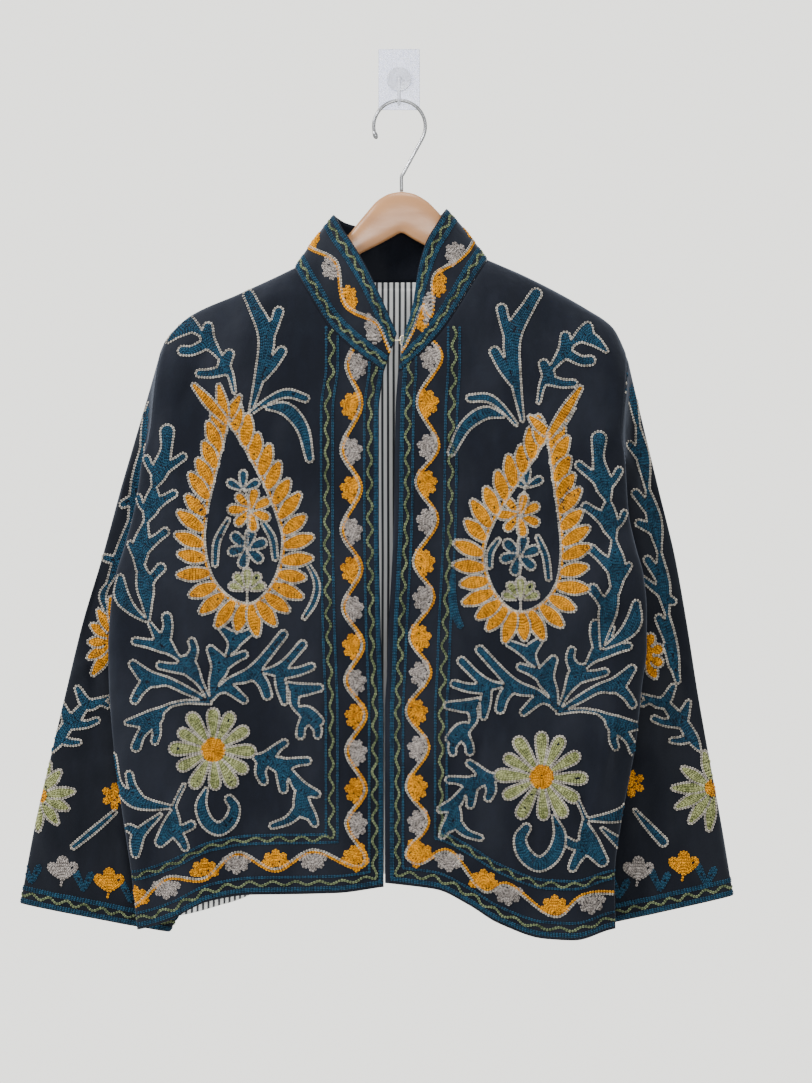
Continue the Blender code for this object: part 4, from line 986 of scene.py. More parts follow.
@dataclass
class Garment:
    """The jacket's cloth: body, sleeves, collar and lining."""

    front_size: Mesh2D = Mesh2D(72, 110)
    back_size: Mesh2D = Mesh2D(44, 96)
    sleeve_size: Mesh2D = Mesh2D(92, 88)
    collar_size: Mesh2D = Mesh2D(140, 14)
    flat_columns: int = 6     # behind the side fold, without creases
    side_fade: float = 3      # columns over which the creases run out
    top_fade: float = 1.2     # rows below a top seam
    cap_fade: float = 3       # steps below the armhole
    creases: BodyCreases = field(default_factory=BodyCreases)
    right: BodyHalf = field(default_factory=lambda: BodyHalf(RIGHT))
    left: BodyHalf = field(default_factory=lambda: BodyHalf(LEFT))
    sheets: dict = field(default_factory=dict)
    walls: dict = field(default_factory=dict)

    def front(self, name: str, body: BodyHalf, creases: tuple) -> Cloth:
        """One front's wall."""
        columns = np.linspace(0, CUT.front_columns, self.front_size.across + 1)
        rows = np.linspace(0, CUT.last_row, self.front_size.down + 1)
        flat = body.front_grid(columns, rows)
        shown = 1 - smooth_step((columns - CUT.front_columns + self.flat_columns) / self.side_fade)
        grid = flat + creased(flat, creases, -1) * self.faded(rows, shown)
        shoulder = columns >= CUT.neck_columns
        return self.wall(name, grid, body.out, ("top", "last"), (shoulder,))

    def back(self) -> Cloth:
        """The back's wall, from the right side seam to the left one."""
        columns = np.linspace(0, CUT.back_half, self.back_size.across + 1)
        rows = np.linspace(0, CUT.last_row, self.back_size.down + 1)
        flat = np.concatenate([self.right.back_grid(columns[:0:-1], rows),
                               self.left.back_grid(columns, rows)], axis=1)
        places = np.concatenate([-columns[:0:-1], columns])
        shown = smooth_step((CUT.back_half - np.abs(places)) / self.side_fade)
        grid = flat + creased(flat, self.creases.back, 1) * self.faded(rows, shown)
        shoulders = (places <= -CUT.neck_columns, places >= CUT.neck_columns)
        return self.wall("back", grid, -1, ("top", "first", "last"), shoulders,
                         plumb_column=self.back_size.across)

    def faded(self, rows: Array, shown: Array) -> Array:
        """How much of the creases shows by row and column: none at the top seam."""
        return (shown[None, :] * smooth_step(rows / self.top_fade)[:, None])[..., None]

    @staticmethod
    def wall(name: str, grid: Array, out: int, seams: tuple, shoulders: tuple, **more: int) -> Cloth:
        """A velvet wall that is drawn in at its seams and stands up from the shoulders' ridge."""
        normals = way_out(grid, out)
        grid = sink_seams(grid, normals, seams)
        for ends in shoulders:
            normals[0, ends] = crest_normals(grid[0, ends])
        return Cloth(name, grid, normals, CUT.velvet, **more)

    def lining(self, back: Cloth) -> Cloth:
        """The lining just inside the back, clear of the side seams."""
        cut = round(LINING_INSET * self.back_size.across / CUT.back_half)
        top = round(LINING_TOP_ROW * self.back_size.down / CUT.last_row)
        inside = (back.grid - back.normals * (CUT.velvet + CUT.gap))[top:, cut:-cut]
        return Cloth("lining_back", inside, way_out(inside, -1), CUT.lining,
                     plumb_column=self.back_size.across - cut)

    def sleeve(self, name: str, body: BodyHalf, creases: SleeveCreases) -> Cloth:
        """A sleeve's wall."""
        flat = SleeveShape(body).grid(self.sleeve_size)
        turn = np.arange(self.sleeve_size.across) * 2 / self.sleeve_size.across
        facing = 2 * np.sin(math.pi * turn)[None, :, None]
        steps = np.linspace(0, CAP_STEPS + SLEEVE_STEPS, len(flat))
        shown = creased(flat, creases.front, -1) * smooth_step(facing)
        hidden = creased(flat, creases.back, 1) * smooth_step(-facing)
        grid = flat + (shown + hidden) * smooth_step(steps / self.cap_fade)[:, None, None]
        normals = way_out(grid, -body.out, closed=True)
        return Cloth(name, sink_seams(grid, normals, ("top",)), normals, CUT.velvet, closed=True)

    def collar(self) -> Cloth:
        """The stand collar's wall."""
        grid = collar_grid(self.right, self.left, self.collar_size)
        return Cloth("collar", grid, way_out(grid, -1), CUT.velvet)

    def build(self, velvet: dict, cotton: Material) -> None:
        """Make every piece of cloth and let it ride.

        Args:
            velvet: the velvet finishes by use: body, sleeve and collar.
            cotton: the lining's finish.
        """
        back = self.back()
        for wall in (self.front("front_right", self.right, self.creases.front_right),
                     self.front("front_left", self.left, self.creases.front_left), back,
                     self.sleeve("sleeve_right", self.right, RIGHT_SLEEVE_CREASES),
                     self.sleeve("sleeve_left", self.left, LEFT_SLEEVE_CREASES),
                     self.collar(), self.lining(back)):
            node, use = wall.name, wall.name.split("_")[0]
            self.walls[node] = wall
            outside = cotton if use == "lining" else velvet.get(use, velvet["body"])
            inside = velvet["collar"] if use == "collar" else cotton
            wall.name = f"cloth_{node}"
            slot = "striped_lining" if use == "lining" else "velvet"
            self.sheets[node] = declare(wall.build(outside, inside), node, slot=slot)


@dataclass(frozen=True)
class HangerSizes:
    """The hanger's sections and its wire, in millimetres."""

    middle: tuple = (  # x, top, under side
        (-97, -196, -217), (-78, -182, -206), (-52, -161, -188), (-36, -142, -178),
        (-20, -124.5, -170), (-8, -118.5, -163.5), (2.5, -117, -158.5), (13, -118.5, -164),
        (25.5, -124.5, -171), (40, -138, -180), (56, -160, -190), (72, -178, -200),
        (84, -190, -208),
    )
    arms: tuple = ((-109, -202, 22, 18), (97, 188, 22, 18))  # neck x, tip x, neck and tip height
    arm_steps: int = 10
    tips: tuple = ((2.5, -1.6, 2.5), (4, -5, 6))
    drop: float = 3.4
    half_depth: float = 6
    rounding: float = 2.6
    sides: int = 32
    step: float = 0.25        # of the way between two sections
    wire: float = 1.75
    arc: float = 26
    arc_middle: tuple = (0.5, -26, -51)
    arc_angles: tuple = (201, -30)
    arc_points: int = 57
    neck: tuple = (0.35, 0.7, 0.92)  # shares of the way from the arc to the foot
    foot: tuple = (2.5, -26, -117)
    foot_length: float = 15
    ball: float = 2.6
    ball_rings: tuple = (     # place along the wire and radius, in balls
        (-1.4, 0.35), (-1.0, 0.72), (-0.5, 0.93), (0.2, 1.0), (0.9, 0.9), (1.3, 0.75),
    )


def loft(name: str, rings: list, material: Material) -> Thing:
    """A closed body through rings of points."""
    count = len(rings[0])
    faces = quads(len(rings), count, True)
    faces += [tuple(range(count)), tuple(range((len(rings) - 1) * count, len(rings) * count))]
    mesh = bpy.data.meshes.new(name)
    mesh.from_pydata([tuple(point) for ring in rings for point in ring], [], faces)
    mesh.materials.append(material)
    turn_faces_out(mesh)
    return finished(name, mesh)


def tube(name: str, points: Array, radii: Array, material: Material, sides: int = 20) -> Thing:
    """A round bar along points of one depth, with a radius at each."""
    along = np.gradient(points, axis=0)
    along /= np.linalg.norm(along, axis=1, keepdims=True)
    side = np.cross(along, (0.0, 1.0, 0.05))
    for index in range(1, len(side)):
        side[index] = side[index - 1] - along[index] * np.dot(side[index - 1], along[index])
    side /= np.linalg.norm(side, axis=1, keepdims=True)
    other = np.cross(along, side)
    turn = np.arange(sides) * 2 * math.pi / sides
    rings = [point + radius * (np.cos(turn)[:, None] * a + np.sin(turn)[:, None] * b)
             for point, radius, a, b in zip(points, radii, side, other)]
    return loft(name, rings, material)


def rounded_path(points: Iterable, steps: int) -> Array:
    """A smooth path through points, by a Catmull-Rom curve."""
    knots = np.array(list(points), float)
    knots = np.vstack([2 * knots[0] - knots[1], knots, 2 * knots[-1] - knots[-2]])
    path = []
    for a, b, c, d in zip(knots, knots[1:], knots[2:], knots[3:]):
        for step in range(steps):
            t = step / steps
            path.append(0.5 * ((2 * b) + (c - a) * t + (2 * a - 5 * b + 4 * c - d) * t * t
                               + (3 * b - a - 3 * c + d) * t ** 3))
    return np.array(path + [knots[-2]])


@dataclass
class Hanger:
    """The tan hanger and its bright wire hook with a ball tip."""

    sizes: HangerSizes = field(default_factory=HangerSizes)

    def rows(self) -> list:
        """Sections from one arm's tip to the other: x, top and under side."""
        sizes, arms = self.sizes, []
        for neck_x, tip_x, neck_height, tip_height in sizes.arms:
            arm = []
            for share in np.linspace(0, 1, sizes.arm_steps):
                x = neck_x + (tip_x - neck_x) * share
                top = float(SHOULDER.at(np.array(x * MM))) / MM - sizes.drop
                arm.append((x, top, top - neck_height - (tip_height - neck_height) * share))
            x, top, under = arm[-1]
            way = math.copysign(1, tip_x)
            arm += [(x + way * dx, top + dt - dx, under + du - dx / 2) for dx, dt, du in sizes.tips]
            arms.append(arm)
        return arms[0][::-1] + list(sizes.middle) + arms[1]

    def build(self, body: Material, wire: Material) -> None:
        """Make the hanger and its wire."""
        rows, sizes = self.rows(), self.sizes
        x, top, under = (Track.of(rows, None, key) for key in range(3))
        turn = np.arange(sizes.sides) * 2 * math.pi / sizes.sides
        wide, tall = np.cos(turn), np.sin(turn)
        squash = (np.abs(wide) ** sizes.rounding + np.abs(tall) ** sizes.rounding) ** (-1 / sizes.rounding)
        rings = []
        for place in np.arange(0, len(rows) - 0.99, sizes.step):
            high, low = float(top.at(place)), float(under.at(place))
            rings.append(np.stack([np.full(sizes.sides, x.at(place)),
                                   (sizes.arc_middle[1] + sizes.half_depth * wide * squash) * MM,
                                   (high + low) / 2 + (high - low) / 2 * tall * squash], axis=-1))
        declare(loft("hanger", rings, body), "hanger_body", slot="hanger")
        declare(self.hook(wire), "hanger_wire", slot="hanger_wire")

    def hook(self, wire: Material) -> Thing:
        """The wire from its ball tip over the peg and down into the hanger."""
        sizes, middle = self.sizes, np.array(self.sizes.arc_middle) * MM
        angles = np.radians(np.linspace(*sizes.arc_angles, sizes.arc_points))
        arc = middle + sizes.arc * MM * np.stack(
            [np.cos(angles), np.zeros_like(angles), np.sin(angles)], axis=-1)
        foot = np.array(sizes.foot) * MM
        top = foot + (0, 0, sizes.foot_length * MM)
        neck = [arc[-1] + (top - arc[-1]) * share for share in sizes.neck]
        lead = rounded_path([arc[-1], *neck, top, foot + (0, 0, CUT.gap)], 6)
        along = (arc[0] - arc[1]) / np.linalg.norm(arc[0] - arc[1])
        places, radii = np.array(sizes.ball_rings).T * sizes.ball * MM
        points = np.vstack([arc[0] - places[:, None] * along, arc[2:-1], lead])
        radii = np.concatenate([radii, np.full(len(points) - len(radii), sizes.wire * MM)])
        return tube("hanger_hook", points, radii, wire)


@dataclass(frozen=True)
class HardPiece:
    """A small hard piece on its solid's own form, welded, with rounded edges and smooth sides."""

    name: str
    node: str
    slot: str
    edge: float = 0.0
    weld: float = 0.001
    flat: float = 0.5
    smooth: float = 40.0

    def build(self, finish: Material) -> None:
        """Make the piece in one finish."""
        build = bmesh.new()
        build.from_mesh(bpy.data.objects[self.node].data)
        bmesh.ops.remove_doubles(build, verts=build.verts, dist=self.weld * MM)
        bmesh.ops.dissolve_limit(build, angle_limit=math.radians(self.flat), verts=build.verts,
                                 edges=build.edges)
        if self.edge:
            rims = [edge for edge in build.edges if edge.calc_face_angle() > math.radians(self.smooth)]
            bmesh.ops.bevel(build, geom=rims, offset=self.edge * MM, segments=3, profile=0.5,
                            affect="EDGES", clamp_overlap=True)
        mesh = bpy.data.meshes.new(self.name)
        build.to_mesh(mesh)
        build.free()
        mesh.materials.append(finish)
        turn_faces_out(mesh)
        mesh.set_sharp_from_angle(angle=math.radians(self.smooth))
        declare(finished(self.name, mesh), self.node, slot=self.slot)


LEAST_STEM = 2.7  # millimetres from a stem's middle to its edge


@dataclass(frozen=True)
class Motif:
    """A leaf or flower motif: strokes of discs (x, z, radius) in millimetres from its foot."""

    strokes: tuple

    def placed(self, foot: tuple, turn: float = 0.0, scale: float = 1.0, flip: bool = False) -> list:
        """Put the motif on a panel."""
        cos, sin = math.cos(math.radians(turn)), math.sin(math.radians(turn))
        placed = []
        for stroke in self.strokes:
            x, z, radius = np.array(stroke, float).T * scale
            x = -x if flip else x
            placed.append(np.stack([foot[0] + x * cos - z * sin, foot[1] + x * sin + z * cos,
                                    np.maximum(radius / scale ** 0.5, LEAST_STEM)], axis=-1))
        return placed


TALL_SPRAY = Motif((
    ((0, 0, 1.5), (9, 35, 5.5), (16, 75, 8.5), (3, 107, 6.5), (-3, 119, 6)),
    ((17, 75, 7), (24, 89, 5.5), (28, 101, 5.5)),
    ((12, 35, 5), (22, 48, 6), (31, 61, 5.5)),
))
DROOPING_LEAVES = Motif((
    ((0, -1, 1.5), (19, 12, 4), (36, 18, 5), (54, 13, 4.5)),
    ((16, 4, 3), (35, 2, 7), (51, -17, 6.5), (58, -47, 4.5)),
))
SHOULDER_VINE = Motif((
    ((-1, 1, 1.5), (-5, 19, 4), (-11, 27, 7), (-6, 39, 5.5)),
    ((-9, 24, 6), (-24, 20, 5), (-36, 20, 4.5)),
    ((-11, 31, 2), (-20, 43, 5), (-28, 54, 7.5), (-28, 67, 5.5)),
    ((-29, 50, 6), (-43, 43, 5.5), (-53, 43, 5.5)),
    ((-31, 56, 2), (-39, 64, 5), (-48, 71, 8), (-51, 78, 5)),
    ((-48, 68, 8), (-59, 62, 6), (-69, 53, 3)),
))
SIDE_VINE = Motif((
    ((18, 188, 7.5), (17, 170, 6), (11, 149, 9), (5, 133, 3.5)),
    ((11, 149, 7.5), (24, 156, 5), (34, 163, 4.5)),
    ((9, 146, 7), (1, 153, 4.5), (-3, 161, 4.5)),
    ((5, 135, 2), (3, 116, 9), (-3, 99, 3.5)),
    ((3, 114, 8), (16, 121, 5), (25, 126, 4.5)),
    ((0, 111, 7), (-8, 115, 4), (-11, 123, 4)),
    ((-3, 100, 2), (-8, 74, 9), (-9, 52, 5)),
    ((-7, 71, 8), (7, 81, 5), (16, 88, 5)),
    ((-11, 67, 7), (-16, 70, 4), (-19, 76, 4)),
    ((-9, 60, 3), (-4, 36, 9), (-2, 17, 6), (-1, 0, 2)),
    ((-3, 36, 7), (5, 44, 5), (12, 52, 5.5)),
    ((-29, 42, 4.5), (-28, 25, 8), (-19, 12, 6), (-4, 0, 2)),
))
CENTRE_SPRAY = Motif((
    ((-62, 78, 1.5), (-54, 65, 5), (-47, 57, 8), (-36, 46, 4), (-29, 39, 2)),
    ((-47, 59, 7), (-43, 73, 5.5), (-44, 83, 5.5)),
    ((-48, 54, 7), (-64, 57, 5), (-76, 59, 4.5)),
    ((-31, 41, 2), (-23, 35, 9), (-11, 17, 4), (-2, 1, 2)),
    ((-23, 37, 7), (-17, 50, 5), (-19, 59, 4.5)),
    ((-24, 32, 7), (-40, 33, 5), (-51, 35, 4.5)),
    ((-2, -1, 2), (-24, 10, 4.5), (-43, 19, 5), (-62, 22, 8), (-78, 36, 5)),
    ((-63, 19, 7), (-71, 10, 5.5), (-76, 1, 5)),
    ((0, 1, 2), (3, 19, 6), (9, 35, 9), (0, 51, 5)),
    ((11, 35, 7), (24, 42, 5), (33, 46, 4.5)),
    ((16, 45, 2), (23, 59, 7), (11, 72, 4)),
    ((24, 59, 7), (35, 66, 5), (44, 71, 4)),
    ((1, 2, 1.5), (16, 18, 4), (38, 26, 7), (52, 41, 5.5), (72, 66, 5)),
    ((43, 28, 7), (52, 17, 6), (56, 6, 5.5)),
    ((4, 7, 2), (16, 13, 6), (33, 1, 4.5)),
    ((52, 29, 2), (67, 31, 6), (78, 41, 5), (91, 56, 5)),
    ((70, 27, 6), (86, 29, 5), (100, 34, 4.5)),
    ((67, 29, 5), (70, 14, 6), (73, -1, 4)),
    ((77, 17, 2), (86, 11, 7), (108, 13, 4.5)),
    ((84, 11, 6), (83, -2, 5), (88, -12, 3)),
    ((87, -8, 2), (96, -13, 8), (108, -20, 5)),
    ((96, -16, 7), (90, -26, 5), (89, -34, 5)),
    ((99, -18, 6), (106, -28, 5), (106, -34, 4.5)),
    ((-1, -2, 1.5), (-24, -1, 2.5), (-40, -4, 2)),
    ((-40, -4, 2), (-51, -11, 5), (-59, -18, 9), (-84, -22, 3.5)),
    ((-60, -21, 7), (-70, -34, 5), (-75, -46, 5.5)),
    ((-56, -21, 6), (-54, -32, 5), (-56, -40, 4.5)),
))
BUD_BRANCH = Motif((
    ((0, 0, 1.5), (12, -3, 7), (25, 8, 5), (32, 13, 4.5)),
    ((11, -4, 7), (8, -16, 6), (11, -25, 5)),
    ((15, -6, 5), (30, -11, 9), (30, -24, 6), (31, -33, 5)),
    ((31, -9, 7), (44, -6, 5), (55, -5, 4.5)),
    ((38, -16, 4), (48, -31, 7), (64, -38, 4.5)),
    ((48, -30, 5), (50, -50, 9), (58, -59, 6), (62, -67, 4.5)),
    ((48, -52, 7), (36, -64, 5), (20, -70, 4)),
))
HOOKED_STEM = Motif((
    ((-1, 0, 2), (-6, -16, 6), (-1, -32, 7), (11, -40, 7), (23, -32, 7), (27, -19, 6), (22, -10, 5)),
))
CORNER_BRANCH = Motif((
    ((0, 1, 1.5), (-6, -11, 2.5), (-11, -23, 3)),
    ((-13, -21, 2), (-35, -19, 6), (-52, -13, 8), (-66, 0, 5), (-72, 29, 4.5)),
    ((-44, -15, 6), (-52, -1, 5), (-55, 11, 4.5)),
    ((-9, -23, 3), (-13, -40, 9), (-24, -56, 6)),
    ((-13, -38, 7), (-3, -43, 5), (7, -39, 5)),
    ((-11, -43, 7), (-3, -53, 5.5), (1, -61, 4.5)),
    ((-24, -29, 2), (-43, -46, 6), (-48, -56, 7), (-49, -68, 5)),
    ((-46, -49, 6), (-54, -43, 5), (-58, -43, 4)),
))
SLEEVE_SPRAY = Motif((
    ((0, 0, 1.5), (-21, -8, 7), (-32, 8, 4.5)),
    ((-19, -8, 6), (-9, -5, 5), (-1, -9, 4)),
    ((-27, -12, 6), (-40, -25, 8), (-48, -8, 4)),
    ((-39, -27, 8), (-24, -28, 5), (-13, -24, 4.5)),
    ((-42, -28, 7), (-52, -44, 7), (-59, -56, 3)),
    ((-50, -43, 6), (-40, -46, 5), (-31, -46, 4)),
))


def petal(reach: float, radius: float, start: float = 0.0, tip: float = 0.7) -> tuple:
    """One petal or lobe pointing up from the motif's foot."""
    return ((0, start, radius * 0.55), (0, start + (reach - start) * 0.45, radius * 0.9),
            (0, start + (reach - start) * 0.75, radius), (0, reach - radius * tip, radius * tip))


def turned(stroke: tuple, degrees: float, scale: float = 1.0) -> tuple:
    """A stroke turned clockwise about the foot and scaled."""
    cos, sin = math.cos(math.radians(degrees)), math.sin(math.radians(degrees))
    return tuple(((x * cos + z * sin) * scale, (z * cos - x * sin) * scale, r * scale)
                 for x, z, r in stroke)


def smoothed(discs: Array, steps: int = 5) -> Array:
    """More discs along a stroke, on a smooth path."""
    if len(discs) < 2:
        return discs
    return rounded_path(discs, steps)


def level_lines(heights: Array, level: float) -> list:
    """Lines where a grid passes a level.

    Args:
        heights: heights by row and column.
        level: the height to follow.

    Returns:
        Arrays of (column, row) places, with the first place repeated at a loop's end.
    """
    above = heights > level
    cells = above[:-1, :-1].astype(int) + above[:-1, 1:] + above[1:, 1:] + above[1:, :-1]
    links = defaultdict(list)
    for row, col in zip(*np.nonzero((cells > 0) & (cells < 4))):
        sides = ((0, row, col), (1, row, col), (1, row, col + 1), (0, row + 1, col))
        crossed = [(up, r, c) for up, r, c in sides if above[r, c] != above[r + up, c + 1 - up]]
        for a, b in zip(crossed[::2], crossed[1::2]):
            links[a].append(b)
            links[b].append(a)
    lines = []
    while links:
        start = next((key for key, ends in links.items() if len(ends) == 1), next(iter(links)))
        path, here = [start], start
        while links.get(here):
            after = links[here].pop()
            links[after].remove(here)
            if not links[here]:
                del links[here]
            path.append(after)
            here = after
        links.pop(here, None)
        places = []
        for up, row, col in path:
            low, high = heights[row, col], heights[row + up, col + 1 - up]
            share = (level - low) / (high - low)
            places.append((col + share * (1 - up), row + share * up))
        lines.append(np.array(places))
    return lines


@dataclass(frozen=True)
class StitchSizes:
    """The chain stitch and its rows, in millimetres."""

    pitch: float = 2.9
    length: float = 3.9
    width: float = 2.9
    height: float = 1.3
    outline_depth: float = 1.3
    row_gap: float = 2.0
    least_loop: float = 4.0
    least_row: float = 0.8    # of the pitch
    look_ahead: float = 0.45  # of the pitch
    overlap: float = 0.5      # how far a row may run under a motif
    margin: float = 3.0
    bare: float = 1e3         # distance from any motif at the start
    last_row: float = 0.1     # depth left inside the last row


class Ground:
    """Where flat pattern places lie on the cloth."""

    def lay(self, spots: Array, ways: Array) -> tuple:
        """Find the cloth under stitches."""
        raise NotImplementedError


class FlatGround(Ground):
    """Cloth seen straight from the front: pattern places are X and Z."""

    start_y = -0.5  # well in front of the cloth

    def __init__(self, wall: Cloth, least_facing: float = 0.25) -> None:
        """Keep the wall's outer surface."""
        rows, columns = wall.grid.shape[:2]
        faces = quads(rows, columns, wall.closed)
        self.tree = BVHTree.FromPolygons([Vector(point) for point in wall.grid.reshape(-1, 3)], faces)
        self.least_facing = least_facing
        self.shown = wall.normals[:-1, :len(faces) // (rows - 1), 1].ravel() < 0

    def lay(self, spots: Array, ways: Array) -> tuple:
        """Drop the stitches onto the cloth along +Y."""
        points, along, up = [], [], []
        for (x, z), (way_x, way_z) in zip(spots * MM, ways):
            start = Vector((x, self.start_y, z))
            place, normal, face, _ = self.tree.ray_cast(start, Vector((0, 1, 0)))
            if place is None or not self.shown[face]:
                continue
            normal = -normal if normal.y > 0 else normal
            if -normal.y < self.least_facing:
                continue
            rise = -(normal.x * way_x + normal.z * way_z) / normal.y
            points.append(place)
            along.append(Vector((way_x, rise, way_z)).normalized())
            up.append(normal)
        return points, along, up


class StripGround(Ground):
    """A strip of cloth: places run along it and down from its first row."""

    def __init__(self, grid: Array, normals: Array) -> None:
        """Measure the strip in millimetres."""
        self.grid, self.normals = grid, normals
        self.lengths = lengths_along(grid[grid.shape[0] // 2], unit=MM)
        self.depths = lengths_along(grid, unit=MM)

    @property
    def length(self) -> float:
        """Length along the strip's middle, in millimetres."""
        return float(self.lengths[-1])

    def depth_at(self, along: float) -> float:
        """The strip's depth at a place along it."""
        return float(np.interp(along, self.lengths, self.depths[-1]))

    def spot_under(self, x: float, z: float, columns: slice) -> tuple:
        """The strip's place that the viewer sees at X and Z, among some of its columns."""
        seen = self.grid[:, columns]
        gap = (seen[..., 0] / MM - x) ** 2 + (seen[..., 2] / MM - z) ** 2
        row, col = np.unravel_index(np.argmin(gap), gap.shape)
        col += columns.start or 0
        return float(self.lengths[col]), float(self.depths[row, col])

    def point(self, along: float, down: float) -> tuple:
        """Point and normal at a place."""
        col = np.interp(along, self.lengths, np.arange(len(self.lengths)))
        first = min(int(col), self.grid.shape[1] - 2)
        t = col - first
        depths = self.depths[:, first] * (1 - t) + self.depths[:, first + 1] * t
        row = np.interp(down, depths, np.arange(len(depths)))
        low = min(int(row), self.grid.shape[0] - 2)
        s = row - low
        weights = ((1 - s) * (1 - t), (1 - s) * t, s * (1 - t), s * t)
        corners = ((low, first), (low, first + 1), (low + 1, first), (low + 1, first + 1))
        place = sum(w * self.grid[corner] for w, corner in zip(weights, corners))
        normal = sum(w * self.normals[corner] for w, corner in zip(weights, corners))
        return Vector(place), Vector(normal).normalized()

    def lay(self, spots: Array, ways: Array) -> tuple:
        """Lay the stitches along the strip."""
        points, along, up = [], [], []
        for (s, t), (way_s, way_t) in zip(spots, ways):
            if not 0 <= s <= self.length:
                continue
            place, normal = self.point(s, t)
            ahead, _ = self.point(s + way_s * 0.5, t + way_t * 0.5)
            behind, _ = self.point(s - way_s * 0.5, t - way_t * 0.5)
            way = ahead - behind
            if way.length < 1e-6:
                continue
            points.append(place)
            along.append(way.normalized())
            up.append(normal)
        return points, along, up


@dataclass
class Needlework:
    """The embroidery of one piece of cloth."""

    panel: str
    ground: Ground
    low: tuple
    high: tuple
    sizes: StitchSizes = field(default_factory=StitchSizes)
    taken: Array = field(init=False)
    rows: dict = field(default_factory=lambda: defaultdict(list))

    def __post_init__(self) -> None:
        """Start with bare cloth."""
        self.taken = np.full((int(self.high[1] - self.low[1]) + 2,
                              int(self.high[0] - self.low[0]) + 2), self.sizes.bare)

    def row(self, path: Array, colour: ThreadColour, over: bool = False,
            depth: Optional[Callable] = None) -> None:
        """Stitch one row along a path.

        Args:
            path: places in millimetres.
            colour: the thread.
            over: whether it may cross motifs that are already there.
            depth: gives how deep places lie in a shape whose middle this row fills.
        """
        path, sizes = np.asarray(path, float), self.sizes
        steps = np.linalg.norm(np.diff(path, axis=0), axis=1)
        length = steps.sum()
        count = max(int(round(length / sizes.pitch)), 1)
        if length < sizes.pitch * sizes.least_row:
            return
        places = (np.arange(count) + 0.5) * length / count
        along = np.concatenate([[0], np.cumsum(steps)])
        reach = sizes.pitch * sizes.look_ahead
        spots, ahead, behind = (
            np.stack([np.interp(np.clip(places + shift, 0, length), along, path[:, axis])
                      for axis in (0, 1)], axis=-1) for shift in (0, reach, -reach))
        ways = ahead - behind
        lengths = np.linalg.norm(ways, axis=1, keepdims=True)
        kept = lengths[:, 0] > 0.1
        if depth:
            left, half = depth(spots) - sizes.outline_depth, 0.5 * sizes.row_gap
            kept &= (left > half) & (left % sizes.row_gap > half)
        if not over:
            kept &= self.free(spots)
        self.rows[colour].append((spots[kept], (ways / np.maximum(lengths, 1e-9))[kept]))

    def free(self, spots: Array) -> Array:
        """Whether places lie clear of the motifs that are already there."""
        cells = np.clip(np.round(spots - self.low).astype(int), 0, np.array(self.taken.shape)[::-1] - 1)
        return self.taken[cells[:, 1], cells[:, 0]] > -self.sizes.overlap

    def reached(self, paths: list, x: Array, z: Array) -> Array:
        """Distance of grid places from the edge of a shape: below 0 inside it."""
        gap = np.full((len(z), len(x)), self.sizes.bare)
        for path in paths:
            for start, end in zip(path, path[1:] if len(path) > 1 else path):
                way = end - start
                length = max(float(way[0] ** 2 + way[1] ** 2), 1e-9)
                off_x, off_z = x[None] - start[0], z[:, None] - start[1]
                t = np.clip((off_x * way[0] + off_z * way[1]) / length, 0, 1)
                edge = start[2] + t * way[2]
                gap = np.minimum(gap, np.hypot(off_x - t * way[0], off_z - t * way[1]) - edge)
        return gap

    def shape(self, strokes: list, outline: ThreadColour, fill: ThreadColour) -> None:
        """Stitch a filled shape: its outline row and rows inside it.

        Args:
            strokes: arrays of discs that make up the shape.
            outline: thread of the outer row.
            fill: thread of the rows inside.
        """
        sizes, paths = self.sizes, [smoothed(stroke) for stroke in strokes]
        discs = np.concatenate(paths)
        reach = discs[:, 2:3] + sizes.margin
        first = np.maximum(np.floor((discs[:, :2] - reach).min(axis=0) - self.low), 0).astype(int)
        last = np.ceil((discs[:, :2] + reach).max(axis=0) - self.low).astype(int)
        last = np.minimum(last, (self.taken.shape[1] - 1, self.taken.shape[0] - 1))
        if (last <= first + 2).any():
            return
        x, z = (self.low[axis] + np.arange(first[axis], last[axis] + 1) for axis in (0, 1))
        gap = self.reached(paths, x, z)
        deepest = -gap.min() - sizes.last_row
        depths = [sizes.outline_depth]
        while depths[-1] + sizes.row_gap < deepest:
            depths.append(depths[-1] + sizes.row_gap)
        for order, depth in enumerate(depths):
            for line in level_lines(gap, -min(depth, deepest)):
                if len(line) > 3 and lengths_along(line)[-1] > sizes.least_loop:
                    self.row(line + (x[0], z[0]), fill if order else outline)

        def depth_of(spots: Array) -> Array:
            """How deep places lie in the shape."""
            place = np.round(spots - (x[0], z[0])).astype(int)
            return -gap[np.clip(place[:, 1], 0, len(z) - 1), np.clip(place[:, 0], 0, len(x) - 1)]

        for path in paths:
            if len(path) > 1:
                self.row(path[:, :2], fill, depth=depth_of)
        window = self.taken[first[1]:last[1] + 1, first[0]:last[0] + 1]
        np.minimum(window, gap, out=window)

    def petals(self, foot: tuple, strokes: Iterable, outline: ThreadColour, fill: ThreadColour) -> None:
        """Stitch separate petals or lobes, each a shape of its own."""
        for stroke in strokes:
            self.shape(Motif((stroke,)).placed(foot), outline, fill)

    def flower(self, foot: tuple, count: int, reach: float, width: float, outline: ThreadColour,
               fill: ThreadColour, heart: Optional[ThreadColour] = None, heart_radius: float = 0.0,
               turn: float = 0.0) -> None:
        """Stitch an open flower with an optional heart."""
        if heart:
            self.shape([np.array([(*foot, heart_radius)])], heart, heart)
        one = petal(reach, width, heart_radius + 0.5)
        ring = [turned(one, turn + 360 * number / count + 3 * math.sin(5 * number),
                       1 + 0.05 * math.sin(3 * number)) for number in range(count)]
        self.petals(foot, ring, outline, fill)

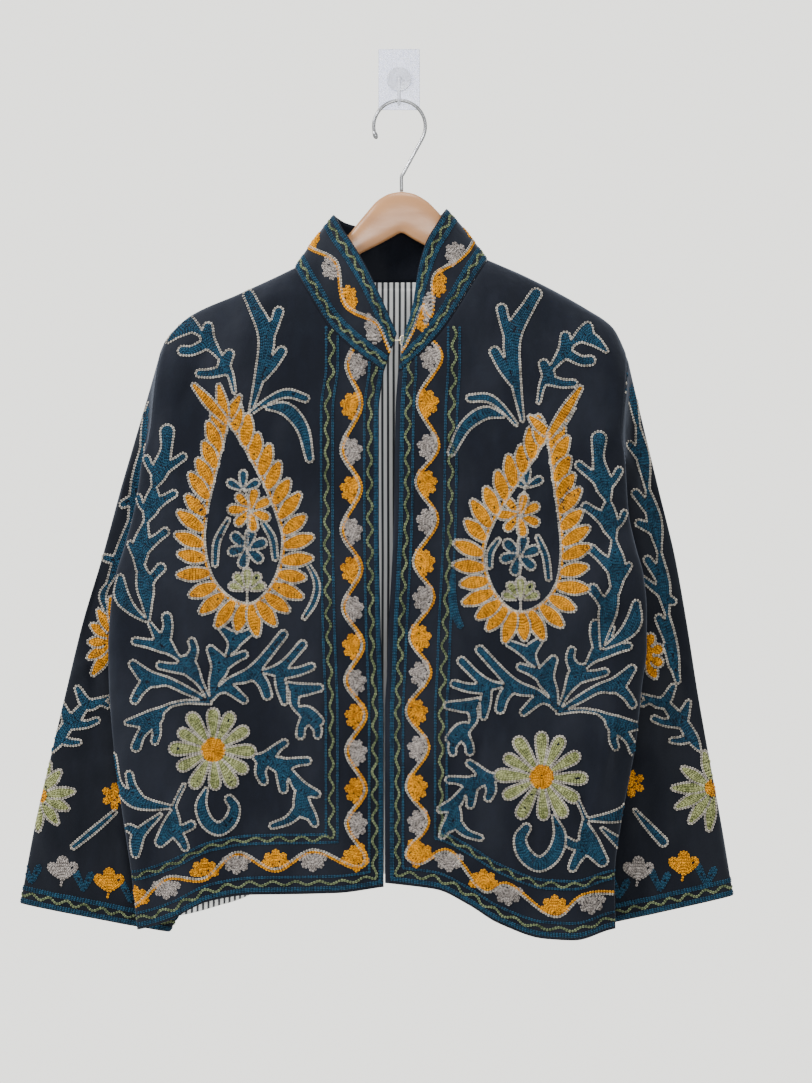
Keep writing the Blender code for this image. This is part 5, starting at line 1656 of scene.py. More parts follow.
    def palmette(self, foot: tuple, way: float, colour: ThreadColour, size: float = 16,
                 outline: Optional[ThreadColour] = None, lobes: int = 5, width: float = 4.4,
                 half_angle: float = 78) -> None:
        """Stitch a fan of lobes."""
        half = (lobes - 1) / 2
        fan = []
        for number in sorted(range(lobes), key=lambda n: abs(n - half)):
            off = (number - half) / half
            fan.append(turned(petal(size, width, 1.0), way + off * half_angle, 1 - 0.1 * abs(off)))
        self.petals(foot, fan, outline or colour, colour)


def stitch_tree() -> Tree:
    """A tree that sets a chain stitch on every point, turned by the attribute "turn"."""
    tree, given, made = new_group(
        "chain_stitches", "GeometryNodeTree",
        {"Geometry": ("Geometry", None), "Stitch": ("Object", None), "Size": ("Vector", None),
         "Unevenness": ("Float", 0.14), "Seed": ("Int", 7), "Thread": ("Material", None)},
        {"Geometry": "Geometry"})
    tree.is_modifier = True
    sockets = given.outputs
    info = put(tree, "GeometryNodeObjectInfo", {"Object": sockets["Stitch"]})
    turn = put(tree, "GeometryNodeInputNamedAttribute", {"Name": "turn"}, data_type="QUATERNION")
    least = maths(tree, "SUBTRACT", 1.0, sockets["Unevenness"])
    most = maths(tree, "ADD", 1.0, sockets["Unevenness"])
    chance = put(tree, "FunctionNodeRandomValue", {"Min": least, "Max": most, "Seed": sockets["Seed"]},
                 data_type="FLOAT_VECTOR")
    uneven = put(tree, "ShaderNodeVectorMath", {0: sockets["Size"], 1: chance.outputs[0]},
                 operation="MULTIPLY")
    placed = put(tree, "GeometryNodeInstanceOnPoints", {
        "Points": sockets["Geometry"], "Instance": info.outputs["Geometry"],
        "Rotation": turn.outputs[0], "Scale": uneven.outputs[0]})
    solid = put(tree, "GeometryNodeRealizeInstances", {"Geometry": placed.outputs[0]})
    dyed = put(tree, "GeometryNodeSetMaterial", {"Geometry": solid.outputs[0],
                                                 "Material": sockets["Thread"]})
    tree.links.new(dyed.outputs[0], made.inputs["Geometry"])
    return tree


STRAND = (  # both ends, then the four corners of its middle, with Y to one side
    (-0.5, 0.06, 0.1), (0.5, 0.1, 0.18), (-0.02, 0.5, 0.05), (0.02, 0.27, 0.75),
    (-0.02, 0.06, 0.1), (-0.02, 0.27, -0.35),
)


def chain_link() -> Thing:
    """One chain stitch of unit size: two strands that part and meet again."""
    points, faces = [], []
    for side in (-1, 1):
        start = len(points)
        points += [(x, side * y, z) for x, y, z in STRAND]
        for a, b in ((2, 3), (3, 4), (4, 5), (5, 2)):
            faces += [(start, start + a, start + b), (start + 1, start + b, start + a)]
    mesh = bpy.data.meshes.new("chain_link")
    mesh.from_pydata(points, [], faces)
    turn_faces_out(mesh)
    return finished("chain_link", mesh)


@dataclass
class Embroiderer:
    """Turns needlework into thread meshes."""

    threads: dict
    sizes: StitchSizes = field(default_factory=StitchSizes)
    tree: Tree = field(default_factory=stitch_tree)
    link: Thing = field(default_factory=chain_link)
    lift: float = 0.1 * MM
    first_seed: int = 7

    def points(self, name: str, places: list, along: list, up: list) -> Thing:
        """A mesh of bare points that hold how each stitch is turned."""
        mesh = bpy.data.meshes.new(name)
        mesh.from_pydata([place + normal * self.lift for place, normal in zip(places, up)], [], [])
        turns = []
        for way, normal in zip(along, up):
            side = normal.cross(way).normalized()
            flat = side.cross(normal)
            turns += list(Matrix((flat, side, normal)).transposed().to_quaternion())
        mesh.attributes.new("turn", "QUATERNION", "POINT").data.foreach_set("value", turns)
        return finished(name, mesh)

    def stitch(self, work: Needlework) -> list:
        """Make one piece of each colour for a panel.

        Args:
            work: the panel's needlework.

        Returns:
            Names of the pieces.
        """
        names = []
        for colour, runs in work.rows.items():
            spots = np.concatenate([run[0] for run in runs])
            ways = np.concatenate([run[1] for run in runs])
            places, along, up = work.ground.lay(spots, ways)
            if not places:
                continue
            name = f"stitches_{work.panel}_{colour.name.lower()}"
            piece = self.points(name, places, along, up)
            maker = piece.modifiers.new("chain_stitches", "NODES")
            maker.node_group = self.tree
            size = tuple(value * MM for value in (self.sizes.length, self.sizes.width, self.sizes.height))
            values = {"Stitch": self.link, "Size": size, "Seed": self.first_seed + len(names),
                      "Thread": self.threads[colour]}
            for item in self.tree.interface.items_tree:
                if item.in_out == "INPUT" and item.name in values:
                    maker[item.identifier] = values[item.name]
            view = bpy.context.evaluated_depsgraph_get()
            mesh = bpy.data.meshes.new_from_object(piece.evaluated_get(view))
            bare, piece.data = piece.data, mesh
            piece.modifiers.remove(maker)
            bpy.data.meshes.remove(bare)
            mesh.name = name
            declare(piece)
            names.append(name)
        return names

    def clear_table(self) -> None:
        """Take away the single stitch that the others were made from."""
        mesh = self.link.data
        bpy.data.objects.remove(self.link)
        bpy.data.meshes.remove(mesh)


@dataclass(frozen=True)
class Placement:
    """A motif with its foot in millimetres, its turn in degrees and its scale."""

    motif: Motif
    foot: tuple
    turn: float = 0.0
    scale: float = 1.0

    def strokes(self, flip: bool) -> list:
        """The motif's strokes on the panel."""
        return self.motif.placed(self.foot, self.turn, self.scale, flip)


@dataclass(frozen=True)
class Spot:
    """A small flower or fan: centre and size, in millimetres."""

    middle: tuple
    size: float


@dataclass(frozen=True)
class FrontDesign:
    """The embroidery of one front, in millimetres on the wall."""

    vines: tuple
    daisy: Spot
    teardrop: tuple           # from the tip round by the front edge's side
    leaf_count: int
    tip_leaves: tuple         # Spots whose middle is the tip
    bud: Spot
    orange_flower: Spot
    teal_flower: Spot
    palmette: Spot
    bars: tuple               # runs of places beside the stack
    outer_bar: tuple
    outer_bar_bare: bool
    lines: tuple              # distances of the band's teal rows from the edge
    zigzags: tuple
    scroll: tuple             # near and far distance
    fans_away: tuple          # heights of the orange fans
    fans_back: tuple          # heights of the grey fans
    hem_up: tuple             # X of the orange fans above the hem
    hem_down: tuple
    hem_lines: tuple = (5, 17, 51, 59)
    hem_zigzags: tuple = (11, 55)
    hem_scroll: tuple = (24, 43)


RIGHT_FRONT = FrontDesign(
    vines=(
        Placement(DROOPING_LEAVES, (-147, -340)), Placement(TALL_SPRAY, (-148, -341)),
        Placement(SHOULDER_VINE, (-163, -322)), Placement(SIDE_VINE, (-249, -548)),
        Placement(CENTRE_SPRAY, (-187, -628)), Placement(BUD_BRANCH, (-146, -683)),
        Placement(HOOKED_STEM, (-191, -716)), Placement(CORNER_BRANCH, (-214, -713)),
    ),
    daisy=Spot((-185, -677), 42),
    teardrop=((-171, -346), (-152, -376), (-132, -414), (-119, -446), (-114, -470), (-120, -502),
              (-135, -525), (-151, -533), (-172, -524), (-188, -503), (-195, -470), (-192, -438),
              (-184, -402), (-176, -370)),
    leaf_count=29,
    tip_leaves=(Spot((-207, -311), 36), Spot((-180, -311), 34), Spot((-157, -322), 28)),
    bud=Spot((-155, -413), 17), orange_flower=Spot((-148, -438), 22),
    teal_flower=Spot((-151, -476), 20), palmette=Spot((-151, -517), 21),
    bars=(((-170, -448), (-181, -469), (-183, -492)), ((-135, -451), (-126, -466), (-123, -486))),
    outer_bar=((-94, -486), (-82, -509), (-84, -528), (-94, -545)),
    outer_bar_bare=False,
    lines=(3, 14.5, 46, 57.5), zigzags=(9, 52), scroll=(18, 37),
    fans_away=(-333, -416, -496, -572, -642, -716, -783),
    fans_back=(-293, -378, -458, -535, -608, -678, -750),
    hem_up=(-44, -123, -194, -264), hem_down=(-86, -162, -232),
)
LEFT_FRONT = FrontDesign(
    vines=(
        Placement(DROOPING_LEAVES, (117, -352), -15, 0.95), Placement(TALL_SPRAY, (123, -349), -5, 1.08),
        Placement(SHOULDER_VINE, (138, -332)), Placement(SIDE_VINE, (201, -575), -5, 1.1),
        Placement(CENTRE_SPRAY, (157, -638), 4), Placement(BUD_BRANCH, (99, -702), 0, 0.9),
        Placement(HOOKED_STEM, (153, -743), 0, 1.2), Placement(CORNER_BRANCH, (174, -721), 0, 1.2),
    ),
    daisy=Spot((142, -704), 46),
    teardrop=((149, -360), (132, -388), (108, -424), (91, -454), (83, -482), (90, -513),
              (105, -534), (121, -541), (142, -533), (158, -512), (163, -480), (161, -450),
              (156, -414), (152, -384)),
    leaf_count=29,
    tip_leaves=(Spot((183, -313), 40), Spot((176, -333), 30), Spot((128, -343), 24)),
    bud=Spot((127, -410), 17), orange_flower=Spot((120, -443), 22),
    teal_flower=Spot((120, -483), 20), palmette=Spot((121, -526), 21),
    bars=(((99, -468), (91, -480), (90, -494)), ((138, -465), (146, -484), (149, -506))),
    outer_bar=((54, -498), (53, -520), (55, -539), (61, -553)),
    outer_bar_bare=True,
    lines=(7, 18, 50, 61.5), zigzags=(12.5, 56), scroll=(22, 43),
    fans_away=(-330, -410, -489, -564, -638, -713, -779),
    fans_back=(-286, -374, -448, -525, -600, -674, -748),
    hem_up=(21, 84, 155), hem_down=(50, 109, 192),
)


@dataclass(frozen=True)
class SleeveDesign:
    """The embroidery that shows on a sleeve, in millimetres on the wall."""

    vine: tuple               # runs of discs
    flower: Spot
    petals: tuple             # tips of the half flower
    spray: Placement
    daisy: Spot
    daisy_tips: tuple
    small: Spot
    bar: tuple
    tulips: tuple             # Spot and colour
    stems: tuple


RIGHT_SLEEVE = SleeveDesign(
    vine=(
        ((-247, -321, 3), (-253, -345, 6.5), (-258, -372, 4)), ((-253, -345, 5), (-262, -338, 4)),
        ((-258, -372, 3), (-263, -408, 8), (-270, -446, 4)), ((-263, -410, 6.5), (-250, -398, 5)),
        ((-265, -425, 6.5), (-278, -432, 5)), ((-270, -446, 3), (-279, -480, 8), (-292, -510, 4)),
        ((-278, -478, 7), (-264, -468, 5)), ((-281, -490, 6), (-296, -486, 5)),
        ((-292, -510, 3), (-299, -524, 5), (-295, -540, 3)),
    ),
    flower=Spot((-284, -571), 12),
    petals=((-291, -523), (-305, -536), (-313, -552), (-316, -571), (-316, -588), (-311, -606)),
    spray=Placement(SLEEVE_SPRAY, (-292, -626)),
    daisy=Spot((-364, -726), 9),
    daisy_tips=((-340, -699), (-325, -721), (-331, -740), (-343, -756), (-364, -764), (-352, -690)),
    small=Spot((-286, -726), 13),
    bar=((-286, -742, 3.5), (-307, -760, 4.5), (-328, -777, 4)),
    tulips=((Spot((-339, -803), 18), GREY), (Spot((-292, -815), 18), ORANGE)),
    stems=((-371, -804), (-318, -811), (-270, -822)),
)
LEFT_SLEEVE = SleeveDesign(
    vine=(
        ((228, -300, 3), (234, -322, 6.5), (240, -350, 4)), ((234, -322, 5), (224, -314, 4)),
        ((240, -350, 3), (246, -384, 8), (250, -414, 4)), ((246, -386, 6.5), (232, -372, 5)),
        ((250, -414, 3), (257, -448, 9), (262, -478, 4)), ((256, -442, 7), (238, -421, 5.5)),
        ((258, -458, 7), (241, -451, 5)), ((262, -478, 3), (266, -512, 8.5), (270, -540, 4)),
        ((265, -508, 7), (250, -488, 5.5)), ((240, -503, 3.5), (258, -517, 5), (276, -530, 5)),
        ((270, -540, 3), (274, -574, 8), (281, -610, 4)), ((273, -570, 7), (262, -547, 5.5)),
        ((276, -594, 6), (269, -574, 4.5)),
    ),
    flower=Spot((245, -583), 11),
    petals=((256, -561), (267, -576), (267, -594), (260, -609)),
    spray=Placement(SLEEVE_SPRAY, (244, -624)),
    daisy=Spot((317, -718), 9),
    daisy_tips=((283, -696), (273, -718), (277, -739), (292, -755), (312, -763), (307, -679)),
    small=Spot((234, -713), 13),
    bar=((237, -740, 3), (251, -756, 5), (266, -772, 6)),
    tulips=((Spot((241, -803), 18), GREY), (Spot((287, -798), 18), ORANGE)),
    stems=((222, -818), (263, -811), (310, -806)),
)


def resampled(path: Array, step: float) -> Array:
    """Places at even distances along a path."""
    path = np.asarray(path, float)
    along = lengths_along(path)
    places = np.linspace(0, along[-1], max(int(along[-1] / step), 2))
    return np.stack([np.interp(places, along, path[:, axis]) for axis in (0, 1)], axis=-1)


def beside(path: Array, offset: Array) -> Array:
    """A path moved to its left by an offset, or by one for each place."""
    ways = np.gradient(path, axis=0)
    ways /= np.maximum(np.linalg.norm(ways, axis=1, keepdims=True), 1e-9)
    left = np.stack([-ways[:, 1], ways[:, 0]], axis=-1)
    return path + left * np.broadcast_to(offset, len(path))[:, None]


def wavy(path: Array, height: float = 2.2, length: float = 23.0, start: float = 0.0) -> Array:
    """A wavy line that follows a path."""
    path = resampled(path, 1.2)
    along = lengths_along(path)
    uneven = 1 + 0.25 * np.sin(along / 41.0 + start)
    return beside(path, height * uneven * np.sin(2 * math.pi * along / length + start))


def leaf(base: Array, tip: Array, radius: float) -> Array:
    """A leaf from its base to its tip, widest past the middle."""
    base, tip = np.asarray(base, float), np.asarray(tip, float)
    way = (tip - base) / max(np.linalg.norm(tip - base), 1e-9)
    end = tip - way * radius * 0.62
    shares = ((0, 0.75), (0.3, 0.98), (0.6, 1.0), (1.0, 0.6))
    return np.array([(*(base + (end - base) * share), radius * wide) for share, wide in shares])


def with_radii(run: tuple, radii: tuple) -> Array:
    """Discs at a run's places."""
    return np.array([(x, z, radius) for (x, z), radius in zip(run, radii)])


LINE_ROWS = ((-0.9, 0.9), (0.0,), (0.0,), (0.0,))  # rows of each teal line


@dataclass(frozen=True)
class BandSizes:
    """The border of a front, in millimetres and degrees."""

    top: float = -255
    corner: float = -800
    step: float = 8.0
    past_side: float = 290
    fan_gap: float = 4.5
    fan_turn: float = 78
    scroll_half: float = 1.2
    scroll_step: float = 1.5


@dataclass(frozen=True)
class PaisleySizes:
    """The paisley's leaves and flowers, in millimetres and degrees."""

    leaf_width: float = 8.3
    leaf_length: float = 32
    leaf_uneven: float = 2.5
    leaf_gap: float = 3.5
    tip_leaf_width: float = 6.5
    tip_share: float = 0.82
    reach_round: float = 0.462
    crowding: float = 1.22
    lean_rate: float = 135
    most_lean: float = 54
    rim: float = 1.9
    step: float = 1.5
    bud: tuple = ((0, 20), (-62, 18), (62, 18))  # turn and length of each petal
    flower_width: float = 6.2
    flower_turn: float = 14
    bar_radii: tuple = (3.4, 4.4, 4.0)


@dataclass
class FrontNeedlework:
    """Lays one front's design on its cloth."""

    body: BodyHalf
    design: FrontDesign
    work: Needlework
    band_sizes: BandSizes = field(default_factory=BandSizes)
    sizes: PaisleySizes = field(default_factory=PaisleySizes)
    daisy: tuple = (12, 7.4, 12.5)  # petals, their width and the heart's radius
    outer_bar_radii: tuple = (2.4, 4.0, 4.4, 3.6)
    vine_swell: float = 1.1

    def edge_x(self, z: float, distance: float) -> float:
        """X at a distance from the front edge."""
        return float(self.body.edge.at(z * MM)) / MM + self.body.out * distance

    def hem_z(self, x: float, height: float) -> float:
        """Z at a height above the hem."""
        return float(self.body.front_hem.at(x * MM)) / MM + height

    def turning(self, distance: float, height: float) -> Array:
        """A line down beside the edge and round the corner above the hem."""
        sizes, out = self.band_sizes, self.body.out
        corner_x = self.edge_x(sizes.corner, distance)
        corner_z = self.hem_z(corner_x, height)
        down = [(self.edge_x(z, distance), z) for z in np.arange(sizes.top, corner_z, -sizes.step)]
        across = [(x, self.hem_z(x, height))
                  for x in np.arange(corner_x, out * (sizes.past_side + 10), out * sizes.step)]
        return np.array(down + across)

    def band(self) -> None:
        """The border down the front edge and along the hem."""
        design, work, sizes, out = self.design, self.work, self.band_sizes, self.body.out
        (near, far), (low, high) = design.scroll, design.hem_scroll
        knots = [(z, near) for z in design.fans_away] + [(z, far) for z in design.fans_back]
        path = [(self.edge_x(sizes.top, near), sizes.top - 3)]
        path += [(self.edge_x(z, d), z) for z, d in sorted(knots, reverse=True)]
        hem = [(x, low) for x in design.hem_up] + [(x, high) for x in design.hem_down]
        hem.sort(key=lambda knot: abs(knot[0]))
        end = out * sizes.past_side
        path += [(x, self.hem_z(x, h)) for x, h in hem] + [(end, self.hem_z(end, low))]
        for places, distance, side, colour in ((design.fans_away, near, 1, ORANGE),
                                               (design.fans_back, far, -1, GREY)):
            for z in places:
                foot = (self.edge_x(z, distance + side * sizes.fan_gap), z - 2)
                work.palmette(foot, side * out * sizes.fan_turn, colour)
        for places, height, side, colour in ((design.hem_up, low, 1, ORANGE),
                                             (design.hem_down, high, -1, GREY)):
            for x in places:
                work.palmette((x, self.hem_z(x, height + side * sizes.fan_gap)), 90 - side * 90, colour)
        scroll = resampled(rounded_path(path, 8), sizes.scroll_step)
        work.row(beside(scroll, sizes.scroll_half), ORANGE, over=True)
        work.row(beside(scroll, -sizes.scroll_half), BEIGE, over=True)
        for distance, height, shifts in zip(design.lines, design.hem_lines, LINE_ROWS):
            line = self.turning(distance, height)
            for shift in shifts:
                work.row(beside(line, shift), TEAL, over=True)
        for distance, height in zip(design.zigzags, design.hem_zigzags):
            work.row(wavy(self.turning(distance, height), start=distance), MOSS, over=True)

    def paisley(self) -> None:
        """The large paisley: leaves round a teardrop, and a stack of flowers inside."""
        design, work, sizes = self.design, self.work, self.sizes
        knots = list(design.teardrop)
        drop = resampled(rounded_path(knots + [knots[0]], 8), sizes.step)
        base = np.array(knots[0]) * sizes.tip_share + np.array(knots[-1]) * (1 - sizes.tip_share)
        for spot in design.tip_leaves:
            work.shape([leaf(base, np.array(spot.middle), sizes.tip_leaf_width)], BEIGE, ORANGE)
        ways = np.linspace(-1, 1, design.leaf_count)
        middle = np.mean(drop, axis=0)
        shares = 0.5 + sizes.reach_round * np.sign(ways) * np.abs(ways) ** sizes.crowding
        for order, share in enumerate(shares):
            index = int(share * (len(drop) - 1))
            foot = drop[index]
            way = drop[min(index + 2, len(drop) - 1)] - drop[index - 2]
            way /= np.linalg.norm(way)
            out = np.array((-way[1], way[0]))
            if np.dot(out, foot - middle) < 0:
                out = -out
            towards_tip = -way if share < 0.5 else way
            lean = math.radians(min(sizes.lean_rate * abs(share - 0.5), sizes.most_lean))
            way_out = out * math.cos(lean) + towards_tip * math.sin(lean)
            reach = sizes.leaf_length + sizes.leaf_uneven * math.sin(order * 2.4)
            work.shape([leaf(foot + way_out * sizes.leaf_gap, foot + way_out * reach, sizes.leaf_width)],
                       BEIGE, ORANGE)
        work.row(drop, ORANGE, over=True)
        work.row(beside(drop, sizes.rim * self.body.out), BEIGE, over=True)
        self.stack()

    def stack(self) -> None:
        """The flowers, bud and bars inside the paisley."""
        design, work, sizes = self.design, self.work, self.sizes
        top, fan = design.bud.middle, design.palmette
        for way, size in sizes.bud:
            work.petals((top[0], top[1] - 5), [turned(petal(size, 5.2, 1.5), way)], BEIGE, TEAL)
        for spot, fill, count in ((design.orange_flower, ORANGE, 7), (design.teal_flower, TEAL, 6)):
            work.flower(spot.middle, count, spot.size, sizes.flower_width, BEIGE, fill,
                        turn=sizes.flower_turn)
        work.palmette(fan.middle, 0, SAGE, fan.size, BEIGE, width=6.0)
        for run in design.bars:
            work.shape([with_radii(run, sizes.bar_radii)], BEIGE, TEAL)
        stem = rounded_path([top, design.orange_flower.middle, design.teal_flower.middle,
                             fan.middle, design.teardrop[7]], 6)
        work.row(stem, BEIGE, over=True)

    def build(self) -> None:
        """Stitch the whole front."""
        design, work = self.design, self.work
        self.band()
        self.paisley()
        count, width, heart = self.daisy
        work.flower(design.daisy.middle, count, design.daisy.size, width, BEIGE, SAGE, ORANGE, heart)
        bare = TEAL if design.outer_bar_bare else BEIGE
        work.shape([with_radii(design.outer_bar, self.outer_bar_radii)], bare, TEAL)
        for placed in design.vines:
            strokes = placed.strokes(flip=self.body.out > 0)
            for stroke in strokes:
                stroke[:, 2] *= self.vine_swell
            work.shape(strokes, BEIGE, TEAL)


@dataclass
class SleeveNeedlework:
    """Lays a sleeve's design on its cloth."""

    out: int
    design: SleeveDesign
    work: Needlework
    leaf_width: float = 6.8
    leaf_gap: float = 2
    tulip: tuple = (4, 3, 6.2, 42)  # added size, lobes, their width and the fan's half angle
    sprouts: tuple = ((-24, 25), (26, 21))  # turn and length of the two by each stem

    def build(self) -> None:
        """Stitch the sleeve's flowers, leaves and cuff row."""
        design, work = self.design, self.work
        for spot, tips, fill in ((design.flower, design.petals, ORANGE),
                                 (design.daisy, design.daisy_tips, SAGE)):
            work.shape([np.array([(*spot.middle, spot.size)])], ORANGE, ORANGE)
            middle = np.array(spot.middle, float)
            for tip in tips:
                way = (np.array(tip) - middle) / np.linalg.norm(np.array(tip) - middle)
                foot = middle + way * (spot.size + self.leaf_gap)
                work.shape([leaf(foot, tip, self.leaf_width)], BEIGE, fill)
        work.flower(design.small.middle, 6, design.small.size, 4.0, ORANGE, ORANGE)
        work.shape([np.array(design.bar, float)], BEIGE, TEAL)
        more, lobes, width, half_angle = self.tulip
        for spot, colour in design.tulips:
            x, z = spot.middle
            work.palmette((x, z - 6), 0, colour, spot.size + more, None, lobes, width, half_angle)
            work.row(np.array([(x, z - 6), (x - 2, z - 14)], float), colour)
        for x, z in design.stems:
            for way, size in self.sprouts:
                work.petals((x, z - 10), [turned(petal(size, 3.9, 1), way)], TEAL, TEAL)
        for strokes in (design.spray.strokes(flip=self.out > 0),
                        [np.array(run, float) for run in design.vine]):
            work.shape(strokes, BEIGE, TEAL)


@dataclass
class StripBorder:
    """Rows that run along a strip, below its upper edge or above its lower one."""

    work: Needlework
    ground: StripGround
    inset: float = 0
    half_gap: float = 1.05
    step: float = 2.5
    wave: tuple = (2.0, 19)  # height and length

    def line(self, distance: float, from_top: bool) -> Array:
        """A path along the strip at a distance from one edge."""
        places = np.arange(self.inset, self.ground.length - self.inset, self.step)
        return np.array([(s, distance if from_top else self.ground.depth_at(s) - distance) for s in places])

    def pair(self, distance: float, from_top: bool = False) -> None:
        """Two teal rows side by side."""
        for shift in (-self.half_gap, self.half_gap):
            self.work.row(beside(self.line(distance, from_top), shift), TEAL, over=True)

    def zigzag(self, distance: float, from_top: bool = False) -> None:
        """A wavy row."""
        self.work.row(wavy(self.line(distance, from_top), *self.wave), MOSS, over=True)


@dataclass(frozen=True)
class CollarDesign:
    """The collar's rows and fans, in millimetres."""

    top_rows: tuple = (3.6, 14.0)
    top_zigzag: float = 9
    base_rows: tuple = (3.6, 13.0)
    base_zigzag: float = 8.5
    right: tuple = (  # x and z that the viewer sees, thread and way: 1 for up
        (-49, -228, ORANGE, 1), (-32, -264, GREY, -1), (-71, -199, GREY, -1), (-83, -162, ORANGE, 1),
    )
    left: tuple = (
        (58, -183, GREY, 1), (42, -213, ORANGE, -1), (33, -239, GREY, 1), (28, -256, ORANGE, -1),
    )
    fan_step: float = 38
    fan_gap: float = 5
    fan_size: float = 15
    fan_width: float = 4.2
    scroll_half: float = 8
    scroll_gap: float = 1.1


@dataclass
class CollarNeedlework(StripBorder):
    """The collar's border all round the neck."""

    inset: float = 1
    wave: tuple = (1.9, 19)
    design: CollarDesign = field(default_factory=CollarDesign)

    def fans(self) -> list:
        """Place, way and thread of each fan: those that the viewer sees, and more round the neck."""
        design, ground = self.design, self.ground
        columns = ground.grid.shape[1]
        quarter = columns // 4
        fans = []
        for shown, part in ((design.right, slice(0, quarter)),
                            (design.left, slice(columns - quarter, columns))):
            fans += [(ground.spot_under(x, z, part)[0], up, colour) for x, z, colour, up in shown]
        first, last, up = 0.0, ground.length, 1
        for s, way, _ in fans:
            if first < s < ground.length / 2:
                first, up = s, way
            if ground.length / 2 < s < last:
                last = s
        count = max(int((last - first) / design.fan_step) // 2 * 2 + 1, 1)
        for number in range(1, count):
            up = -up
            fans.append((first + (last - first) * number / count, up, ORANGE if up > 0 else GREY))
        return sorted(fans, key=lambda fan: fan[0])

    def build(self) -> None:
        """Stitch rows along both edges, and a scroll with fans between them."""
        design, ground, work = self.design, self.ground, self.work
        fans = self.fans()
        for s, up, colour in fans:
            foot = (s, ground.depth_at(s) / 2 + up * design.fan_gap)
            work.palmette(foot, 90 + up * 90, colour, design.fan_size, width=design.fan_width)
        ends = ((0, 0, None), (ground.length, 0, None))
        knots = [(s, ground.depth_at(s) / 2 + up * design.scroll_half)
                 for s, up, _ in (ends[0], *fans, ends[1])]
        scroll = resampled(rounded_path(knots, 8), 1.5)
        for shift, colour in ((design.scroll_gap, ORANGE), (-design.scroll_gap, BEIGE)):
            work.row(beside(scroll, shift), colour, over=True)
        for depth in design.top_rows:
            self.pair(depth, from_top=True)
        for height in design.base_rows:
            self.pair(height)
        self.zigzag(design.top_zigzag, from_top=True)
        self.zigzag(design.base_zigzag)


@dataclass
class CuffNeedlework(StripBorder):
    """Rows all round a cuff, at heights above its edge."""

    rows: tuple = (3.5, 16.0)
    wave_row: float = 10.0

    def build(self) -> None:
        """Stitch the rows round the sleeve."""
        for height in self.rows:
            self.pair(height)
        self.zigzag(self.wave_row)


@dataclass
class JacketEmbroidery:
    """All the jacket's embroidery, panel by panel, and the names of its pieces by cloth."""

    garment: Garment
    hand: Embroiderer
    cuff_rings: int = 9
    cuff_depth: float = 60
    collar_depth: float = 90
    names: dict = field(default_factory=lambda: defaultdict(list))

    def flat(self, node: str, low: tuple, high: tuple, lay: Callable, least_facing: float = 0.25) -> None:
        """Stitch a panel that is seen straight from the front."""
        work = Needlework(node, FlatGround(self.garment.walls[node], least_facing), low, high)
        lay(work).build()
        self.names[node] += self.hand.stitch(work)

    def strip(self, node: str, name: str, ground: StripGround, depth: float, lay: Callable) -> None:
        """Stitch a strip of a panel."""
        work = Needlework(name, ground, (-5, -5), (ground.length + 5, depth))
        lay(work, ground).build()
        self.names[node] += self.hand.stitch(work)

    def cuff(self, wall: Cloth) -> StripGround:
        """The sleeve's last rings as a strip that closes on itself."""
        last = slice(-self.cuff_rings, None)
        return StripGround(*(np.concatenate([points[last], points[last, :1]], axis=1)
                             for points in (wall.grid, wall.normals)))

    def build(self) -> dict:
        """Stitch every panel.

        Returns:
            Names of the thread pieces by the cloth's node.
        """
        walls = self.garment.walls
        for node, body, design, low, high in (
                ("front_right", self.garment.right, RIGHT_FRONT, (-310, -875), (0, -180)),
                ("front_left", self.garment.left, LEFT_FRONT, (-8, -880), (265, -180))):
            self.flat(node, low, high, lambda work: FrontNeedlework(body, design, work))
        for node, out, design, low, high in (
                ("sleeve_right", -1, RIGHT_SLEEVE, (-395, -870), (-225, -280)),
                ("sleeve_left", 1, LEFT_SLEEVE, (180, -870), (350, -280))):
            self.flat(node, low, high, lambda work: SleeveNeedlework(out, design, work), 0.4)
            self.strip(node, f"{node}_cuff", self.cuff(walls[node]), self.cuff_depth, CuffNeedlework)
        ground = StripGround(walls["collar"].grid, walls["collar"].normals)
        self.strip("collar", "collar", ground, self.collar_depth, CollarNeedlework)
        self.hand.clear_table()
        return self.names


# The same velvet in three looks: the sleeves' darker colours are painted shade, and the body's paler brushed
# colour is nap and painted sheen.
LIT_AND_SHADED_VELVETS = {  # dark, brushed and how much of the nap is brushed
    "body": ((0.0018, 0.0028, 0.0062), (0.0058, 0.0086, 0.0175), 0.32),
    "sleeve": ((0.0015, 0.0023, 0.005), (0.0044, 0.0064, 0.0125), 0.28),
    "collar": ((0.0018, 0.0027, 0.0058), (0.008, 0.0112, 0.0195), 0.3),
}


@dataclass(frozen=True)
class SheetPlan:
    width: float
    length: float
    area: float
    rests_on: tuple = ("hanger",)
    held: str = "hung"


SHEET_PLANS = {
    "front_right": SheetPlan(390, 650, 188000),
    "front_left": SheetPlan(370, 680, 184000),
    "back": SheetPlan(560, 660, 252000),
    "sleeve_right": SheetPlan(500, 560, 160000),
    "sleeve_left": SheetPlan(480, 540, 151000),
    "collar": SheetPlan(530, 70, 27000),
    "lining_back": SheetPlan(385, 640, 196000),
}


